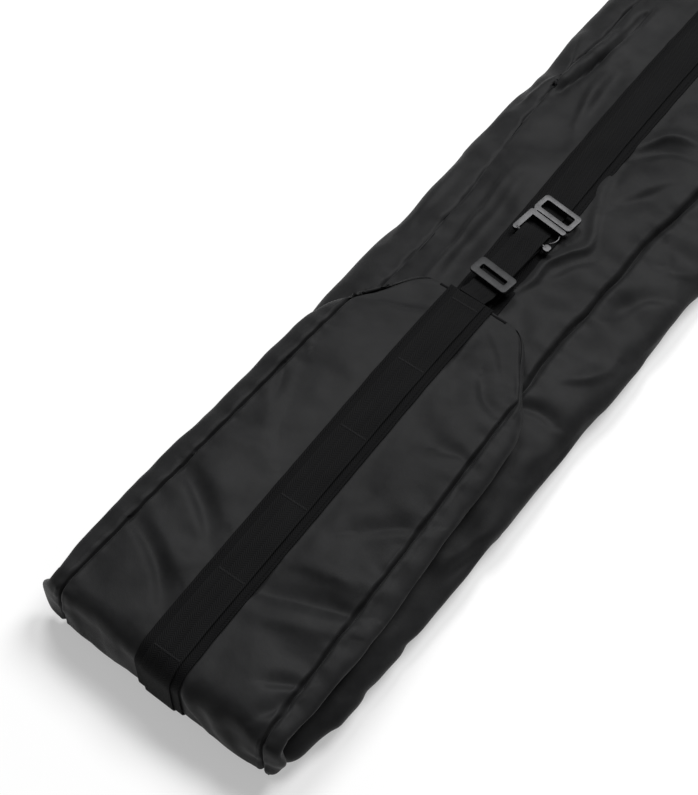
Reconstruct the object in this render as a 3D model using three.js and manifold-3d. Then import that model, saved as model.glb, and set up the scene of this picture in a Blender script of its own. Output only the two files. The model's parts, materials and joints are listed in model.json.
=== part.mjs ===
// Ski bag, 220 cm long when open, shown with its mouth end folded over onto its top and held there by
// a webbing strap with a cast hook. The bag lies on its bottom panel.
//
// Frame: millimetres, +Z up, +Y from the fold towards the closed tail, +X to the right when looking
// along +Y. The origin is at the bottom centre of the bag's box.
//
// The bag is a tube of four sewn fabric panels: a top, a bottom and two side gussets. Folding turns
// the bottom panel up over the end wall and back along the top, so the panel that shows on the flap is
// the bottom one. The end wall and the flap turn about one hinge line each.

import * as THREE from 'three';
import { mergeVertices } from 'three/addons/utils/BufferGeometryUtils.js';
import Module from 'manifold-3d';

const wasm = await Module();
wasm.setup();

// ---------------------------------------------------------------- driving dimensions

const LENGTH = 1710; // folded bag, from the fold to the tail
const FABRIC = 2; // shell cloth with its lining
const WEBBING = 1.4; // every webbing layer
const GAP = 0.3; // between pieces that touch
const JOIN = 1; // between two panels that are sewn edge to edge

const BODY_HALF_WIDTH = 144;
const PANEL_HALF_WIDTH = 105; // top and bottom panels, seam to centre line
const BODY_TOP = 50.5; // crown of the top panel
const BODY_SHOULDER = 43; // top panel at its side seams
const BODY_MID_HEIGHT = 23; // widest point of the side gussets

const BASE_BAND_WIDTH = 50; // wide band sewn to the shell
const STRIP_WIDTH = 32; // narrow strip tacked onto the base band
const CLOSURE_WIDTH = 29;
const TACK_SPACING = 89.4;
const FIRST_TACK = 19; // from the fold
const FLAP_TACKS = 6;
const TACK_WIDTH = 28;
const TACK_LENGTH = 3;
const TACK_HEIGHT = 1.2;
const TACK_DENT = 0.6; // the thread pulls the strip in this far, across its whole width

const HINGE_Y = 6.5; // both fold hinge lines stand this far inside the fold's outer face
const LOWER_HINGE_Z = 6.5;
const UPPER_HINGE_Z = 73.5;
const WALL_Y = 3.4; // outer face of the end wall's cloth
const PANEL_START = 8; // body panels that begin at the lower fold hinge
const FLAP_START = 11; // the flap's, at the upper one
const GUSSET_START = 20;
const INNER_START = 30; // the two layers that meet in the inner crease

const FLAP_TOP = 76.5; // outer face of the flap's upper panel
const FLAP_BOTTOM = 55; // underside of the flap
const FLAP_TIP_Y = 479;
const FLAP_TIP_TOP = 68.5;
const FLAP_SHOULDER_Y = 372; // the side gussets end here and the corners slant in
const FLAP_SEAM_HALF_WIDTH = 114; // at the fold
const FLAP_TAPER = 0.041; // seam half width lost per millimetre of length
const FLAP_GUSSET_DEPTH = 25;
const FLAP_TURN = 0.02; // the flap lies turned by this angle, in radians
const FLAP_BAND_TURN = 0.0125; // and its band by this much more
const BAND_START_X = 2;

const CLOSURE_START = new THREE.Vector3(-13.5, 484, 66); // where the closure strap leaves the flap
const HOOK_BAR_Y = 578;
const HOOK_BAR_Z = 60;
const HOOK_BAR_RADIUS = 2.2;
const HARDWARE_TURN = -0.1; // the metal pieces lie slightly askew on the webbing
const HOOK_THICKNESS = 4;

const TAIL_PAD = 12;
const BODY_TACKS = [960, 1200, 1440, 1670];

// ---------------------------------------------------------------- materials

function finish(color, roughness, metalness) {
  return () => new THREE.MeshStandardMaterial({ color, roughness, metalness });
}

const shell = finish(0x2b2c2e, 0.5, 0);
const lining = finish(0x3a3b3d, 0.7, 0);
const webbing = finish(0x161617, 0.85, 0);
const thread = finish(0x0c0c0d, 0.8, 0);
const padding = finish(0x4a4a4c, 0.95, 0);
const hookMetal = finish(0x77787a, 0.38, 0.9);
const sliderMetal = finish(0x3f4042, 0.42, 0.8);

// ---------------------------------------------------------------- outlines and solids

const v2 = (x, y) => new THREE.Vector2(x, y);

/** Closed outline of a layer of the given thickness, centred on an open line of points. */
function layer(line, thickness) {
  const sides = [[], []];
  line.forEach((point, i) => {
    const before = line[Math.max(i - 1, 0)];
    const after = line[Math.min(i + 1, line.length - 1)];
    const entering = (i === 0 ? after.clone().sub(point) : point.clone().sub(before)).normalize();
    const leaving = (i === line.length - 1 ? entering.clone() : after.clone().sub(point)).normalize();
    const mitre = v2(-entering.y - leaving.y, entering.x + leaving.x).normalize();
    const stretch = 1 / mitre.dot(v2(-entering.y, entering.x));
    const step = mitre.multiplyScalar((thickness / 2) * stretch);
    sides[0].push(point.clone().add(step));
    sides[1].unshift(point.clone().sub(step));
  });
  return [...sides[0], ...sides[1]];
}

/** The half outline given for +X, closed by its mirror image. */
function mirrored(half) {
  return [...half, ...half.map((p) => v2(-p.x, p.y)).reverse()];
}

function extrude(outline, depth, holes = []) {
  const shape = new THREE.Shape(outline);
  shape.holes = holes.map((hole) => new THREE.Path(hole));
  return new THREE.ExtrudeGeometry(shape, { depth, bevelEnabled: false, curveSegments: 6 });
}

/** A plan outline (x, y) with a thickness upwards from z. */
function plate(outline, z, thickness, holes) {
  return extrude(outline, thickness, holes).translate(0, 0, z);
}

/** A cross-section (x, z) run along Y. */
function alongY(section, from, to) {
  return extrude(section, to - from).rotateX(Math.PI / 2).translate(0, to, 0);
}

/** A side profile (y, z) run along X. */
function alongX(profile, from, to) {
  const turn = new THREE.Matrix4().makeBasis(
    new THREE.Vector3(0, 1, 0), new THREE.Vector3(0, 0, 1), new THREE.Vector3(1, 0, 0));
  return extrude(profile, to - from).applyMatrix4(turn).translate(from, 0, 0);
}

function block(width, length, height, x, y, z) {
  return new THREE.BoxGeometry(width, length, height).translate(x, y, z);
}

function solid(geometry) {
  const plain = geometry.clone();
  plain.deleteAttribute('normal');
  plain.deleteAttribute('uv');
  const merged = mergeVertices(plain, 1e-4);
  return new wasm.Manifold(new wasm.Mesh({
    numProp: 3,
    vertProperties: new Float32Array(merged.attributes.position.array),
    triVerts: new Uint32Array(merged.index.array),
  }));
}

function geometryOf(manifold) {
  const mesh = manifold.getMesh();
  const geometry = new THREE.BufferGeometry();
  geometry.setAttribute('position', new THREE.BufferAttribute(new Float32Array(mesh.vertProperties), 3));
  geometry.setIndex(new THREE.BufferAttribute(new Uint32Array(mesh.triVerts), 1));
  geometry.computeVertexNormals();
  return geometry;
}

const common = (a, b) => geometryOf(solid(a).intersect(solid(b)));
const joined = (...all) => geometryOf(all.map(solid).reduce((sum, next) => sum.add(next)));
const cut = (body, ...tools) => geometryOf(tools.map(solid).reduce((rest, tool) => rest.subtract(tool), solid(body)));

function piece(parent, name, geometry, material) {
  const mesh = new THREE.Mesh(geometry, material());
  mesh.name = name;
  parent.add(mesh);
  return mesh;
}

// ---------------------------------------------------------------- the bag

const bag = new THREE.Group();
bag.position.y = -LENGTH / 2;

// The tail's band, end panel and the ends of the long panels, from the outside in.
const TAIL_PANEL_END = LENGTH - WEBBING - GAP;
const TUBE_END = TAIL_PANEL_END - FABRIC - GAP;

/** Centre line of the band along the top of the body: it wanders a little, as sewn on a soft tube. */
const topBandLine = new THREE.SplineCurve([
  v2(1, INNER_START), v2(-13.5, 480), v2(-25, 860), v2(-15, 1300), v2(0, TUBE_END)]);

function topBandOutline(width) {
  const centre = topBandLine.getPoints(24);
  const side = (sign) => centre.map((p) => v2(p.x + (sign * width) / 2, p.y));
  return [...side(-1), ...side(1).reverse()];
}

/** The bottom panel is stepped up over its band, so that the band doesn't carry the bag. */
const BOTTOM_STEP = 3.8;

function bottomPanelSection() {
  const bandSpace = BASE_BAND_WIDTH / 2 + 2;
  const under = mirrored([v2(PANEL_HALF_WIDTH, 0), v2(bandSpace + 2, 0), v2(bandSpace, BOTTOM_STEP)]);
  const right = under.slice(0, 3);
  const left = under.slice(3);
  const lower = [...right, ...left];
  return [...lower, ...lower.map((p) => v2(p.x, p.y + FABRIC)).reverse()];
}

function topPanelSection() {
  const upper = mirrored([v2(PANEL_HALF_WIDTH, BODY_SHOULDER), v2(62, BODY_TOP - 2), v2(28, BODY_TOP)]);
  return [...upper, ...upper.map((p) => v2(p.x, p.y - FABRIC)).reverse()];
}

function bodyGussetSection(side) {
  const inset = FABRIC / 2;
  const line = [
    v2(PANEL_HALF_WIDTH + JOIN + inset, BODY_SHOULDER - inset),
    v2(132, 36),
    v2(BODY_HALF_WIDTH - inset, BODY_MID_HEIGHT),
    v2(134, 9),
    v2(PANEL_HALF_WIDTH + JOIN + inset, inset + GAP),
  ];
  return layer(line, FABRIC).map((p) => v2(side * p.x, p.y));
}

function seamBinding(side, upper) {
  const inner = PANEL_HALF_WIDTH - 13;
  const outer = PANEL_HALF_WIDTH - 1;
  const tape = 1.5;
  const outerZ = upper ? BODY_SHOULDER - FABRIC - 2 : FABRIC + GAP;
  const rise = upper ? 1.5 : 0;
  return [
    v2(side * inner, outerZ + rise), v2(side * outer, outerZ),
    v2(side * outer, outerZ + tape), v2(side * inner, outerZ + rise + tape)];
}

function buildBody() {
  const body = new THREE.Group();
  piece(body, 'body_bottom_panel', alongY(bottomPanelSection(), PANEL_START, TUBE_END), shell);
  piece(body, 'body_top_panel', alongY(topPanelSection(), INNER_START, TUBE_END), shell);
  for (const [side, word] of [[-1, 'left'], [1, 'right']]) {
    piece(body, `body_${word}_gusset`, alongY(bodyGussetSection(side), GUSSET_START, TUBE_END), shell);
    piece(body, `${word}_upper_seam_binding`,
      alongY(seamBinding(side, true), INNER_START, TUBE_END - TAIL_PAD - 1), lining);
    piece(body, `${word}_lower_seam_binding`,
      alongY(seamBinding(side, false), GUSSET_START, TUBE_END - TAIL_PAD - 1), lining);
  }

  const bandZ = BODY_TOP + GAP;
  const stripZ = bandZ + WEBBING + GAP;
  piece(body, 'top_base_band', plate(topBandOutline(BASE_BAND_WIDTH), bandZ, WEBBING), webbing);
  const stripTop = stripZ + WEBBING;
  const dents = BODY_TACKS.map((y) => block(200, TACK_LENGTH + 2 * GAP, 2 * TACK_DENT, 0, y, stripTop));
  piece(body, 'top_strip', cut(plate(topBandOutline(STRIP_WIDTH), stripZ, WEBBING), ...dents), webbing);
  BODY_TACKS.forEach((y, i) => {
    const x = topBandLine.getPoint((y - INNER_START) / (TUBE_END - INNER_START)).x;
    const z = stripTop - TACK_DENT + GAP + TACK_HEIGHT / 2;
    piece(body, `body_bartack_${i + 1}`, block(TACK_WIDTH, TACK_LENGTH, TACK_HEIGHT, x, y, z), thread);
  });

  const half = BASE_BAND_WIDTH / 2;
  const bottomBandZ = BOTTOM_STEP - GAP - WEBBING;
  piece(body, 'bottom_base_band',
    block(BASE_BAND_WIDTH, TUBE_END - PANEL_START, WEBBING, 0, (TUBE_END + PANEL_START) / 2,
      bottomBandZ + WEBBING / 2), webbing);
  piece(body, 'bottom_strip',
    block(STRIP_WIDTH, TUBE_END - PANEL_START, WEBBING, 0, (TUBE_END + PANEL_START) / 2,
      bottomBandZ - GAP - WEBBING / 2), webbing);

  const tailSection = mirrored([
    v2(PANEL_HALF_WIDTH, 0), v2(134, 8), v2(BODY_HALF_WIDTH, BODY_MID_HEIGHT), v2(132, 37),
    v2(PANEL_HALF_WIDTH, BODY_SHOULDER), v2(62, BODY_TOP - 2), v2(28, BODY_TOP)]);
  piece(body, 'tail_end_panel', alongY(tailSection, TAIL_PANEL_END - FABRIC, TAIL_PANEL_END), shell);
  piece(body, 'tail_base_band',
    block(2 * half, WEBBING, BODY_TOP - 6, 0, LENGTH - WEBBING / 2, BODY_TOP / 2 + 2), webbing);
  const padSection = mirrored([v2(88, 6.5), v2(100, 14), v2(100, 34), v2(62, 40), v2(28, 43)]);
  piece(body, 'tail_pad', alongY(padSection, TUBE_END - TAIL_PAD, TUBE_END - GAP), padding);
  return body;
}

// The inner crease joins the body's top panel to the flap's inner panel inside the fold.
function buildInnerCrease() {
  const back = INNER_START - 4;
  const lower = BODY_TOP - FABRIC / 2 - 1;
  const upper = FLAP_BOTTOM + FABRIC / 2;
  const nose = (lower + upper) / 2;
  const line = [v2(back, lower), v2(16, lower), v2(11, nose), v2(16, upper), v2(back, upper)];
  const group = new THREE.Group();
  piece(group, 'fold_inner_crease', alongX(layer(line, 1.5), -98, 98), lining);
  return group;
}

function buildFold() {
  const fold = new THREE.Group();
  const low = LOWER_HINGE_Z + 0.5;
  const high = UPPER_HINGE_Z - 0.5;
  const middle = (low + high) / 2;
  const wall = (width, y, thickness) =>
    block(width, thickness, high - low, 0, y + thickness / 2, middle);
  piece(fold, 'fold_end_panel', wall(2 * PANEL_HALF_WIDTH, WALL_Y, FABRIC), shell);
  const bandY = WALL_Y - GAP - WEBBING;
  const stripY = bandY - GAP - WEBBING;
  piece(fold, 'fold_base_band', wall(BASE_BAND_WIDTH, bandY, WEBBING), webbing).position.x = BAND_START_X;
  piece(fold, 'fold_strip', wall(STRIP_WIDTH, stripY, WEBBING), webbing).position.x = BAND_START_X;
  for (const [side, word] of [[-1, 'left'], [1, 'right']]) {
    const line = [
      v2(side * (PANEL_HALF_WIDTH + JOIN), WALL_Y + 1), v2(side * 128, 9), v2(side * 137, GUSSET_START - 3)];
    piece(fold, `fold_${word}_pleat`, plate(layer(line, FABRIC), low + 2, high - low - 4), shell);
  }
  return fold;
}

// ---------------------------------------------------------------- the flap

const flapSeamHalfWidth = (y) => FLAP_SEAM_HALF_WIDTH - FLAP_TAPER * y;

/** Slanted corner from the shoulder to the tip, as plan points on the +X side. */
const cornerLine = [v2(121, FLAP_SHOULDER_Y + 2), v2(96, 421), v2(70, 462), v2(54, FLAP_TIP_Y)];

/** Height of the upper panel's outer face along the flap, as a side line (y, z). */
function flapTopLine(lift) {
  return [
    v2(FLAP_START, FLAP_TOP + lift), v2(365, FLAP_TOP + lift), v2(425, FLAP_TOP - 3 + lift),
    v2(FLAP_TIP_Y, FLAP_TIP_TOP + lift)];
}

function heightOnLine(line, y) {
  const next = line.findIndex((p) => p.x >= y);
  const [a, b] = [line[next - 1], line[next]];
  return a.y + ((b.y - a.y) * (y - a.x)) / (b.x - a.x);
}

function slopeOnLine(line, y) {
  const next = line.findIndex((p) => p.x >= y);
  return Math.atan2(line[next].y - line[next - 1].y, line[next].x - line[next - 1].x);
}

function flapPlan(start, inset) {
  const seam = (y) => v2(flapSeamHalfWidth(y) - inset, y);
  return mirrored([
    seam(start), seam(FLAP_SHOULDER_Y - 0.5),
    ...cornerLine.map((p) => v2(p.x - inset, p.y - inset / 2))]);
}

function flapGusset(side) {
  const inset = FABRIC / 2;
  const line = [
    v2(JOIN + inset, FLAP_TOP - inset - 0.5), v2(14, FLAP_TOP - 3), v2(FLAP_GUSSET_DEPTH - inset, 66),
    v2(18, 58.5), v2(JOIN + inset, FLAP_BOTTOM + inset + 0.5)];
  const section = layer(line, FABRIC).map((p) => v2(side * p.x, p.y));
  return alongY(section, GUSSET_START, FLAP_SHOULDER_Y - 2);
}

function cornerWall(side) {
  const line = cornerLine.map((p) => v2(side * (p.x - 2.5), p.y - 1.5));
  const upright = plate(layer(line, FABRIC), FLAP_BOTTOM + FABRIC + GAP, FLAP_TOP);
  const underPanel = [
    ...flapTopLine(-FABRIC - GAP), v2(FLAP_TIP_Y + 20, FLAP_TIP_TOP - FABRIC - GAP - 3),
    v2(FLAP_TIP_Y + 20, 0), v2(FLAP_START, 0)];
  return common(upright, alongX(underPanel, -200, 200));
}

function flapLayer(lift, thickness, halfWidth) {
  return alongX(layer(flapTopLine(lift + thickness / 2), thickness), -halfWidth, halfWidth);
}

function buildFlap() {
  const flap = new THREE.Group();
  flap.rotation.z = FLAP_TURN;
  const cloth = alongX(layer(flapTopLine(-FABRIC / 2), FABRIC), -200, 200);
  piece(flap, 'flap_outer_panel', common(cloth, plate(flapPlan(0, 0), 0, 200)), shell);
  piece(flap, 'flap_inner_panel', plate(flapPlan(INNER_START, 2), FLAP_BOTTOM, FABRIC), shell);
  for (const [side, word] of [[-1, 'left'], [1, 'right']]) {
    const gusset = piece(flap, `flap_${word}_gusset`, flapGusset(side), shell);
    gusset.position.x = side * FLAP_SEAM_HALF_WIDTH;
    gusset.rotation.z = side * FLAP_TAPER;
    piece(flap, `flap_${word}_corner`, cornerWall(side), shell);
  }

  const hemWidth = 100;
  const hemY = FLAP_TIP_Y + GAP + 1.75;
  piece(flap, 'mouth_upper_hem', block(hemWidth, 3, 3, 0, hemY, FLAP_TIP_TOP - 1.5), webbing);
  piece(flap, 'mouth_lower_hem', block(hemWidth, 3, FABRIC, 0, hemY, FLAP_BOTTOM + FABRIC / 2), webbing);

  const band = new THREE.Group();
  band.position.x = BAND_START_X;
  band.rotation.z = FLAP_BAND_TURN;
  flap.add(band);
  piece(band, 'flap_base_band', flapLayer(GAP, WEBBING, BASE_BAND_WIDTH / 2), webbing);
  const stripLift = 2 * GAP + WEBBING;
  const tackLine = flapTopLine(stripLift + WEBBING);
  const tacks = Array.from({ length: FLAP_TACKS }, (_, i) => FIRST_TACK + TACK_SPACING * i);
  const dents = tacks.map((y) => block(STRIP_WIDTH + 2, TACK_LENGTH + 2 * GAP, 2 * TACK_DENT, 0, 0, 0)
    .rotateX(slopeOnLine(tackLine, y)).translate(0, y, heightOnLine(tackLine, y)));
  piece(band, 'flap_strip', cut(flapLayer(stripLift, WEBBING, STRIP_WIDTH / 2), ...dents), webbing);
  const tackRise = GAP + TACK_HEIGHT / 2 - TACK_DENT;
  tacks.forEach((y, i) => {
    const shape = block(TACK_WIDTH, TACK_LENGTH, TACK_HEIGHT, 0, 0, tackRise);
    const tack = piece(band, `flap_bartack_${i + 1}`, shape, thread);
    tack.position.set(0, y, heightOnLine(tackLine, y));
    tack.rotation.x = slopeOnLine(tackLine, y);
  });
  return flap;
}

// ---------------------------------------------------------------- the closure strap and its hardware

const hookBar = new THREE.Vector3(CLOSURE_START.x, HOOK_BAR_Y, HOOK_BAR_Z);
const closureRun = hookBar.clone().sub(CLOSURE_START);
const closureSlope = Math.atan2(closureRun.z, closureRun.y);
const barAlong = closureRun.length();

/** The strap runs to the hook's bar, round it and back, in the strap's own frame: y along, z out. */
function closureLoop() {
  const flat = 1.05; // half the distance between the two layers' middles where they lie together
  const round = HOOK_BAR_RADIUS + WEBBING / 2 + 0.4;
  const spread = barAlong - 24;
  const crown = barAlong + 6;
  const turn = [];
  for (let i = 0; i <= 8; i += 1) {
    const angle = (Math.PI * i) / 8 - Math.PI / 2;
    turn.push(v2(crown + CROWN_REACH * Math.cos(angle), round * Math.sin(angle)));
  }
  const line = [v2(1, -flat), v2(spread, -flat), v2(barAlong - 6, -round), ...turn,
    v2(barAlong - 6, round), v2(spread, flat), v2(12, flat)];
  return alongX(layer(line, WEBBING), -CLOSURE_WIDTH / 2, CLOSURE_WIDTH / 2);
}

/** A flat slider: a plate with a slot in front, side cheeks, and a back plate behind the webbing. */
function slider() {
  const length = 22;
  const halfWidth = 22.5;
  const halfSpace = 17;
  const inside = 2.6;
  const outer = mirrored([v2(halfWidth, -4.4), v2(halfWidth, 4), v2(halfWidth - 1.5, 5.6)]);
  const inner = mirrored([v2(halfSpace, -inside), v2(halfSpace, inside)]);
  const sleeve = extrude(outer, length, [inner]).rotateX(Math.PI / 2).translate(0, length / 2, 0);
  const slot = block(32, 6, 8, 0, -3, 6.7);
  return cut(sleeve, slot);
}

/** Rounded rectangle outline, counter-clockwise. */
function roundedBox(x0, y0, x1, y1, radius) {
  const shape = new THREE.Shape();
  shape.absarc(x1 - radius, y1 - radius, radius, 0, Math.PI / 2);
  shape.absarc(x0 + radius, y1 - radius, radius, Math.PI / 2, Math.PI);
  shape.absarc(x0 + radius, y0 + radius, radius, Math.PI, 1.5 * Math.PI);
  shape.absarc(x1 - radius, y0 + radius, radius, 1.5 * Math.PI, 2 * Math.PI);
  return shape.getPoints(4);
}

// Plan of the hook, from its round bar at y = 0 to the far side of its frame.
const HOOK_HALF_WIDTH = 23;
const FRAME_NEAR = 29;
const FRAME_FAR = 51;
const FRAME_BAR = 5;
const SECOND_BAR_NEAR = 22;
const SECOND_BAR_FAR = 27.6;
const ARM_WIDTH = 6;

/** The cast hook: a closed frame, a slit, a second bar, an arm down the left and a round bar across. */
function hook() {
  const z = -HOOK_THICKNESS / 2;
  const frame = plate(
    roundedBox(-HOOK_HALF_WIDTH, FRAME_NEAR, HOOK_HALF_WIDTH, FRAME_FAR, 4), z, HOOK_THICKNESS,
    [roundedBox(-HOOK_HALF_WIDTH + FRAME_BAR, FRAME_NEAR + FRAME_BAR,
      HOOK_HALF_WIDTH - FRAME_BAR, FRAME_FAR - FRAME_BAR, 2)]);
  const armLeft = -HOOK_HALF_WIDTH;
  const neck = block(4, 4, HOOK_THICKNESS, armLeft + 4, FRAME_NEAR, 0);
  const second = plate(
    roundedBox(armLeft, SECOND_BAR_NEAR, HOOK_HALF_WIDTH - 1, SECOND_BAR_FAR, 2.4), z, HOOK_THICKNESS);
  const arm = plate(roundedBox(armLeft, -3, armLeft + ARM_WIDTH, SECOND_BAR_FAR, 3), z, HOOK_THICKNESS);
  const bar = new THREE.CylinderGeometry(HOOK_BAR_RADIUS, HOOK_BAR_RADIUS, 2 * HOOK_HALF_WIDTH - 7, 16)
    .rotateZ(Math.PI / 2);
  const knob = plate(roundedBox(16.5, -3.5, HOOK_HALF_WIDTH + 0.5, 4, 2.5), z, HOOK_THICKNESS);
  return joined(frame, neck, second, arm, bar, knob);
}

/** Sprung wire across the hook's mouth, from under the second bar to beside the knob. */
function gate() {
  const radius = 0.9;
  const section = new THREE.Shape().absarc(0, 0, radius, 0, 2 * Math.PI);
  const path = new THREE.CatmullRomCurve3([
    new THREE.Vector3(0, 0, 0), new THREE.Vector3(1.6, -4, 0), new THREE.Vector3(1.2, -9, 0),
    new THREE.Vector3(-1.6, -14, 0)]);
  return new THREE.ExtrudeGeometry(section, { steps: 8, extrudePath: path, curveSegments: 4 });
}

const CROWN_REACH = 6.3; // how far the loop's end stands past the hook's bar once it has turned
const SLIDER_ALONG = 29.5; // from the strap's start to the slider's middle
const GATE_PIVOT = v2(19.2, 20.4); // in the hook's plan

function buildClosure() {
  const closure = new THREE.Group();
  closure.position.copy(CLOSURE_START);
  closure.rotation.x = closureSlope;
  piece(closure, 'closure_strap', closureLoop(), webbing);

  const sliderMesh = piece(closure, 'strap_slider', slider(), sliderMetal);
  sliderMesh.position.y = SLIDER_ALONG;
  sliderMesh.rotation.z = HARDWARE_TURN;

  const hookGroup = new THREE.Group();
  hookGroup.position.copy(hookBar);
  hookGroup.rotation.z = HARDWARE_TURN;
  piece(hookGroup, 'g_hook', hook(), hookMetal);
  piece(hookGroup, 'hook_gate', gate(), hookMetal).position.set(GATE_PIVOT.x, GATE_PIVOT.y, 0);

  const all = new THREE.Group();
  all.add(closure, hookGroup);
  return all;
}

bag.add(buildBody(), buildInnerCrease(), buildFold(), buildFlap(), buildClosure());

export default bag;
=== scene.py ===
"""The looks of the ski bag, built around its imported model.

The bag is a tube of sewn nylon panels. Its mouth end is folded up and over, so an end wall and a flap
stand in front of and on top of the body. Webbing runs all round it, with a cast hook on a short strap.

Shapes are worked out in bag millimetres: x to the right, y from the fold towards the tail, z up.
in_frame() turns them into the frame's metres.
"""
import json
import math

import bmesh
import bpy
import numpy as np
from mathutils import Matrix, Vector, noise


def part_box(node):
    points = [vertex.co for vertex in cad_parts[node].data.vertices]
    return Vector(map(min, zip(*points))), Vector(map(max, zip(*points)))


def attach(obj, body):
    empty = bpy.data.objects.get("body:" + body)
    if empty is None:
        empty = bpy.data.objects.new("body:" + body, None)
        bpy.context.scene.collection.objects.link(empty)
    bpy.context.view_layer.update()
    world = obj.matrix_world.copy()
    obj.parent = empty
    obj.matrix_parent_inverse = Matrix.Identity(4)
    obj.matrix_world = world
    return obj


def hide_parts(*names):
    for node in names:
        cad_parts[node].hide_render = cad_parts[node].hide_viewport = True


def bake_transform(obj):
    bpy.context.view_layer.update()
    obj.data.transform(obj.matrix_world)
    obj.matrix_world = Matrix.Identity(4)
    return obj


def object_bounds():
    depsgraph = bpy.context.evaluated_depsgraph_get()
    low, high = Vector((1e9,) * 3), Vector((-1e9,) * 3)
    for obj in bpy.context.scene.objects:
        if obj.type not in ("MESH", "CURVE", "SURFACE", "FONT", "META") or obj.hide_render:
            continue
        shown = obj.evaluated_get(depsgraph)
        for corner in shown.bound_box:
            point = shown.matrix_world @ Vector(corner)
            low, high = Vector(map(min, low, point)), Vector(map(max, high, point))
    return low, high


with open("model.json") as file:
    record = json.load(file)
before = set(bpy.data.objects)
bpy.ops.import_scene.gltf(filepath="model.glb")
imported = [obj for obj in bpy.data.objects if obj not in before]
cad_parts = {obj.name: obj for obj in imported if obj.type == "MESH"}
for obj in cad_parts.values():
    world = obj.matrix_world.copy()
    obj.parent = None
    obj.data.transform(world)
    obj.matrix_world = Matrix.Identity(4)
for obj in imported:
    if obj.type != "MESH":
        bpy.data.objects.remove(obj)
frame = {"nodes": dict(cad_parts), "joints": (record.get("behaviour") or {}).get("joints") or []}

MM = 0.001
CAD_LOW, CAD_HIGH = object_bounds()
NODES = frame["nodes"]


def in_frame(points):
    """Bag millimetres to the frame's metres."""
    moved = np.array(points, float) * MM
    moved[..., 1] += CAD_LOW.y
    return moved


def cad_box(node):
    """Lowest and highest corner of a CAD node, in bag millimetres."""
    shift = Vector((0, CAD_LOW.y, 0))
    low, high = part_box(node)
    return (low - shift) / MM, (high - shift) / MM


# ---------------------------------------------------------------- driving dimensions, from the frame

LENGTH = (CAD_HIGH.y - CAD_LOW.y) / MM
HALF_WIDTH = cad_box("body_right_gusset")[1].x
PANEL_HALF = cad_box("body_top_panel")[1].x
BODY_TOP = cad_box("body_top_panel")[1].z
BODY_SHOULDER = cad_box("body_right_gusset")[1].z
BODY_BULGE = 23  # height of the body's widest line
FLAP_UNDER = cad_box("flap_inner_panel")[0].z
STRIP_TOP = cad_box("flap_strip")[1].z
BAND_HALF = (cad_box("fold_base_band")[1].x - cad_box("fold_base_band")[0].x) / 2
STRIP_HALF = (cad_box("fold_strip")[1].x - cad_box("fold_strip")[0].x) / 2
WEBBING = cad_box("fold_strip")[1].y - cad_box("fold_strip")[0].y
GAP = 0.3  # between layers that touch
SHELL_DEPTH = 2 * (WEBBING + GAP)  # from the strip's face down to the shell's
CLOTH = 0.9  # shell cloth with its lining
FLAP_TURN = 0.02  # the flap lies turned by this angle, in radians
FLAP_BAND_TURN = 0.0125  # and its band by this much more
BAND_START_X = cad_box("fold_strip")[0].x + STRIP_HALF
FLAP_SEAM_START = 114  # half width between the flap's seams at the fold
FLAP_SEAM_TAPER = 0.041  # half width lost per millimetre of length
SHOULDER_Y = 372  # the flap's slanted corners begin here
TIP_Y = cad_box("flap_outer_panel")[1].y
TIP_DROP = 8  # the flap's top is this much lower at its tip
STRAP_START = TIP_Y - 2  # the strip on the flap becomes the closure strap
WALL_CORNER = 24  # radii of the strip's path where the end wall turns over
FLOOR_CORNER = 14
BODY_START = 22  # the body's cloth starts here, behind the end wall
SKIRT = 60  # how far the fold's cloth runs on under the body and along the flap
MID_WALL = SKIRT + 38  # along the fold's path, its lower pieces meet its upper ones here
FLAP_ONLY = MID_WALL + 92  # and the pieces that move with the flap alone begin here
FOLD_PARTS = (  # name, from and to along the path, the bodies it joins, and where it bends between them
    ("lower", 0, MID_WALL, ("body", "fold"), ((0, 22, 0), (0, 12, 25.5))),
    ("upper", MID_WALL, FLAP_ONLY, ("fold", "flap"), ((0, 16.2, 51.5), (0, 28, 72.7))),
)


# ---------------------------------------------------------------- lines and numbers

def smooth(value, low=0.0, high=1.0):
    """0 up to low, 1 from high on, and a soft step between."""
    share = np.clip((np.asarray(value, float) - low) / (high - low), 0, 1)
    return share * share * (3 - 2 * share)


def unit(vectors):
    """The same vectors with length 1."""
    return vectors / np.maximum(np.linalg.norm(vectors, axis=-1, keepdims=True), 1e-9)


def run_length(points, axis=0):
    """Distance along a line of points, or along one axis of a grid of them."""
    step = np.linalg.norm(np.diff(points, axis=axis), axis=-1)
    start = np.zeros_like(np.take(step, [0], axis=axis))
    return np.concatenate([start, np.cumsum(step, axis=axis)], axis=axis)


def through(places, values):
    """A smooth function through the given values."""
    places, values = np.array(places, float), np.array(values, float)
    slopes = np.gradient(values, places)

    def at(where):
        where = np.clip(where, places[0], places[-1])
        i = np.clip(np.searchsorted(places, where, side="right") - 1, 0, len(places) - 2)
        span = places[i + 1] - places[i]
        t = (where - places[i]) / span
        rise = values[i] * (1 + 2 * t) * (1 - t) ** 2 + values[i + 1] * t * t * (3 - 2 * t)
        return rise + span * t * (1 - t) * (slopes[i] * (1 - t) - slopes[i + 1] * t)

    return at


def evenly(points, step):
    """The same line with its points about one step apart, and their distance along it."""
    points = np.array(points, float)
    run = run_length(points)
    where = np.linspace(0, run[-1], max(2, round(run[-1] / step) + 1))
    return np.stack([np.interp(where, run, points[:, k]) for k in range(points.shape[1])], axis=1), where


def curve_through(points, step):
    """A smooth flat line through a few points."""
    points = np.array(points, float)
    run = run_length(points)
    places = np.linspace(0, run[-1], max(3, round(run[-1] / step) + 1))
    return np.stack([through(run, points[:, k])(places) for k in (0, 1)], axis=1)


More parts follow.
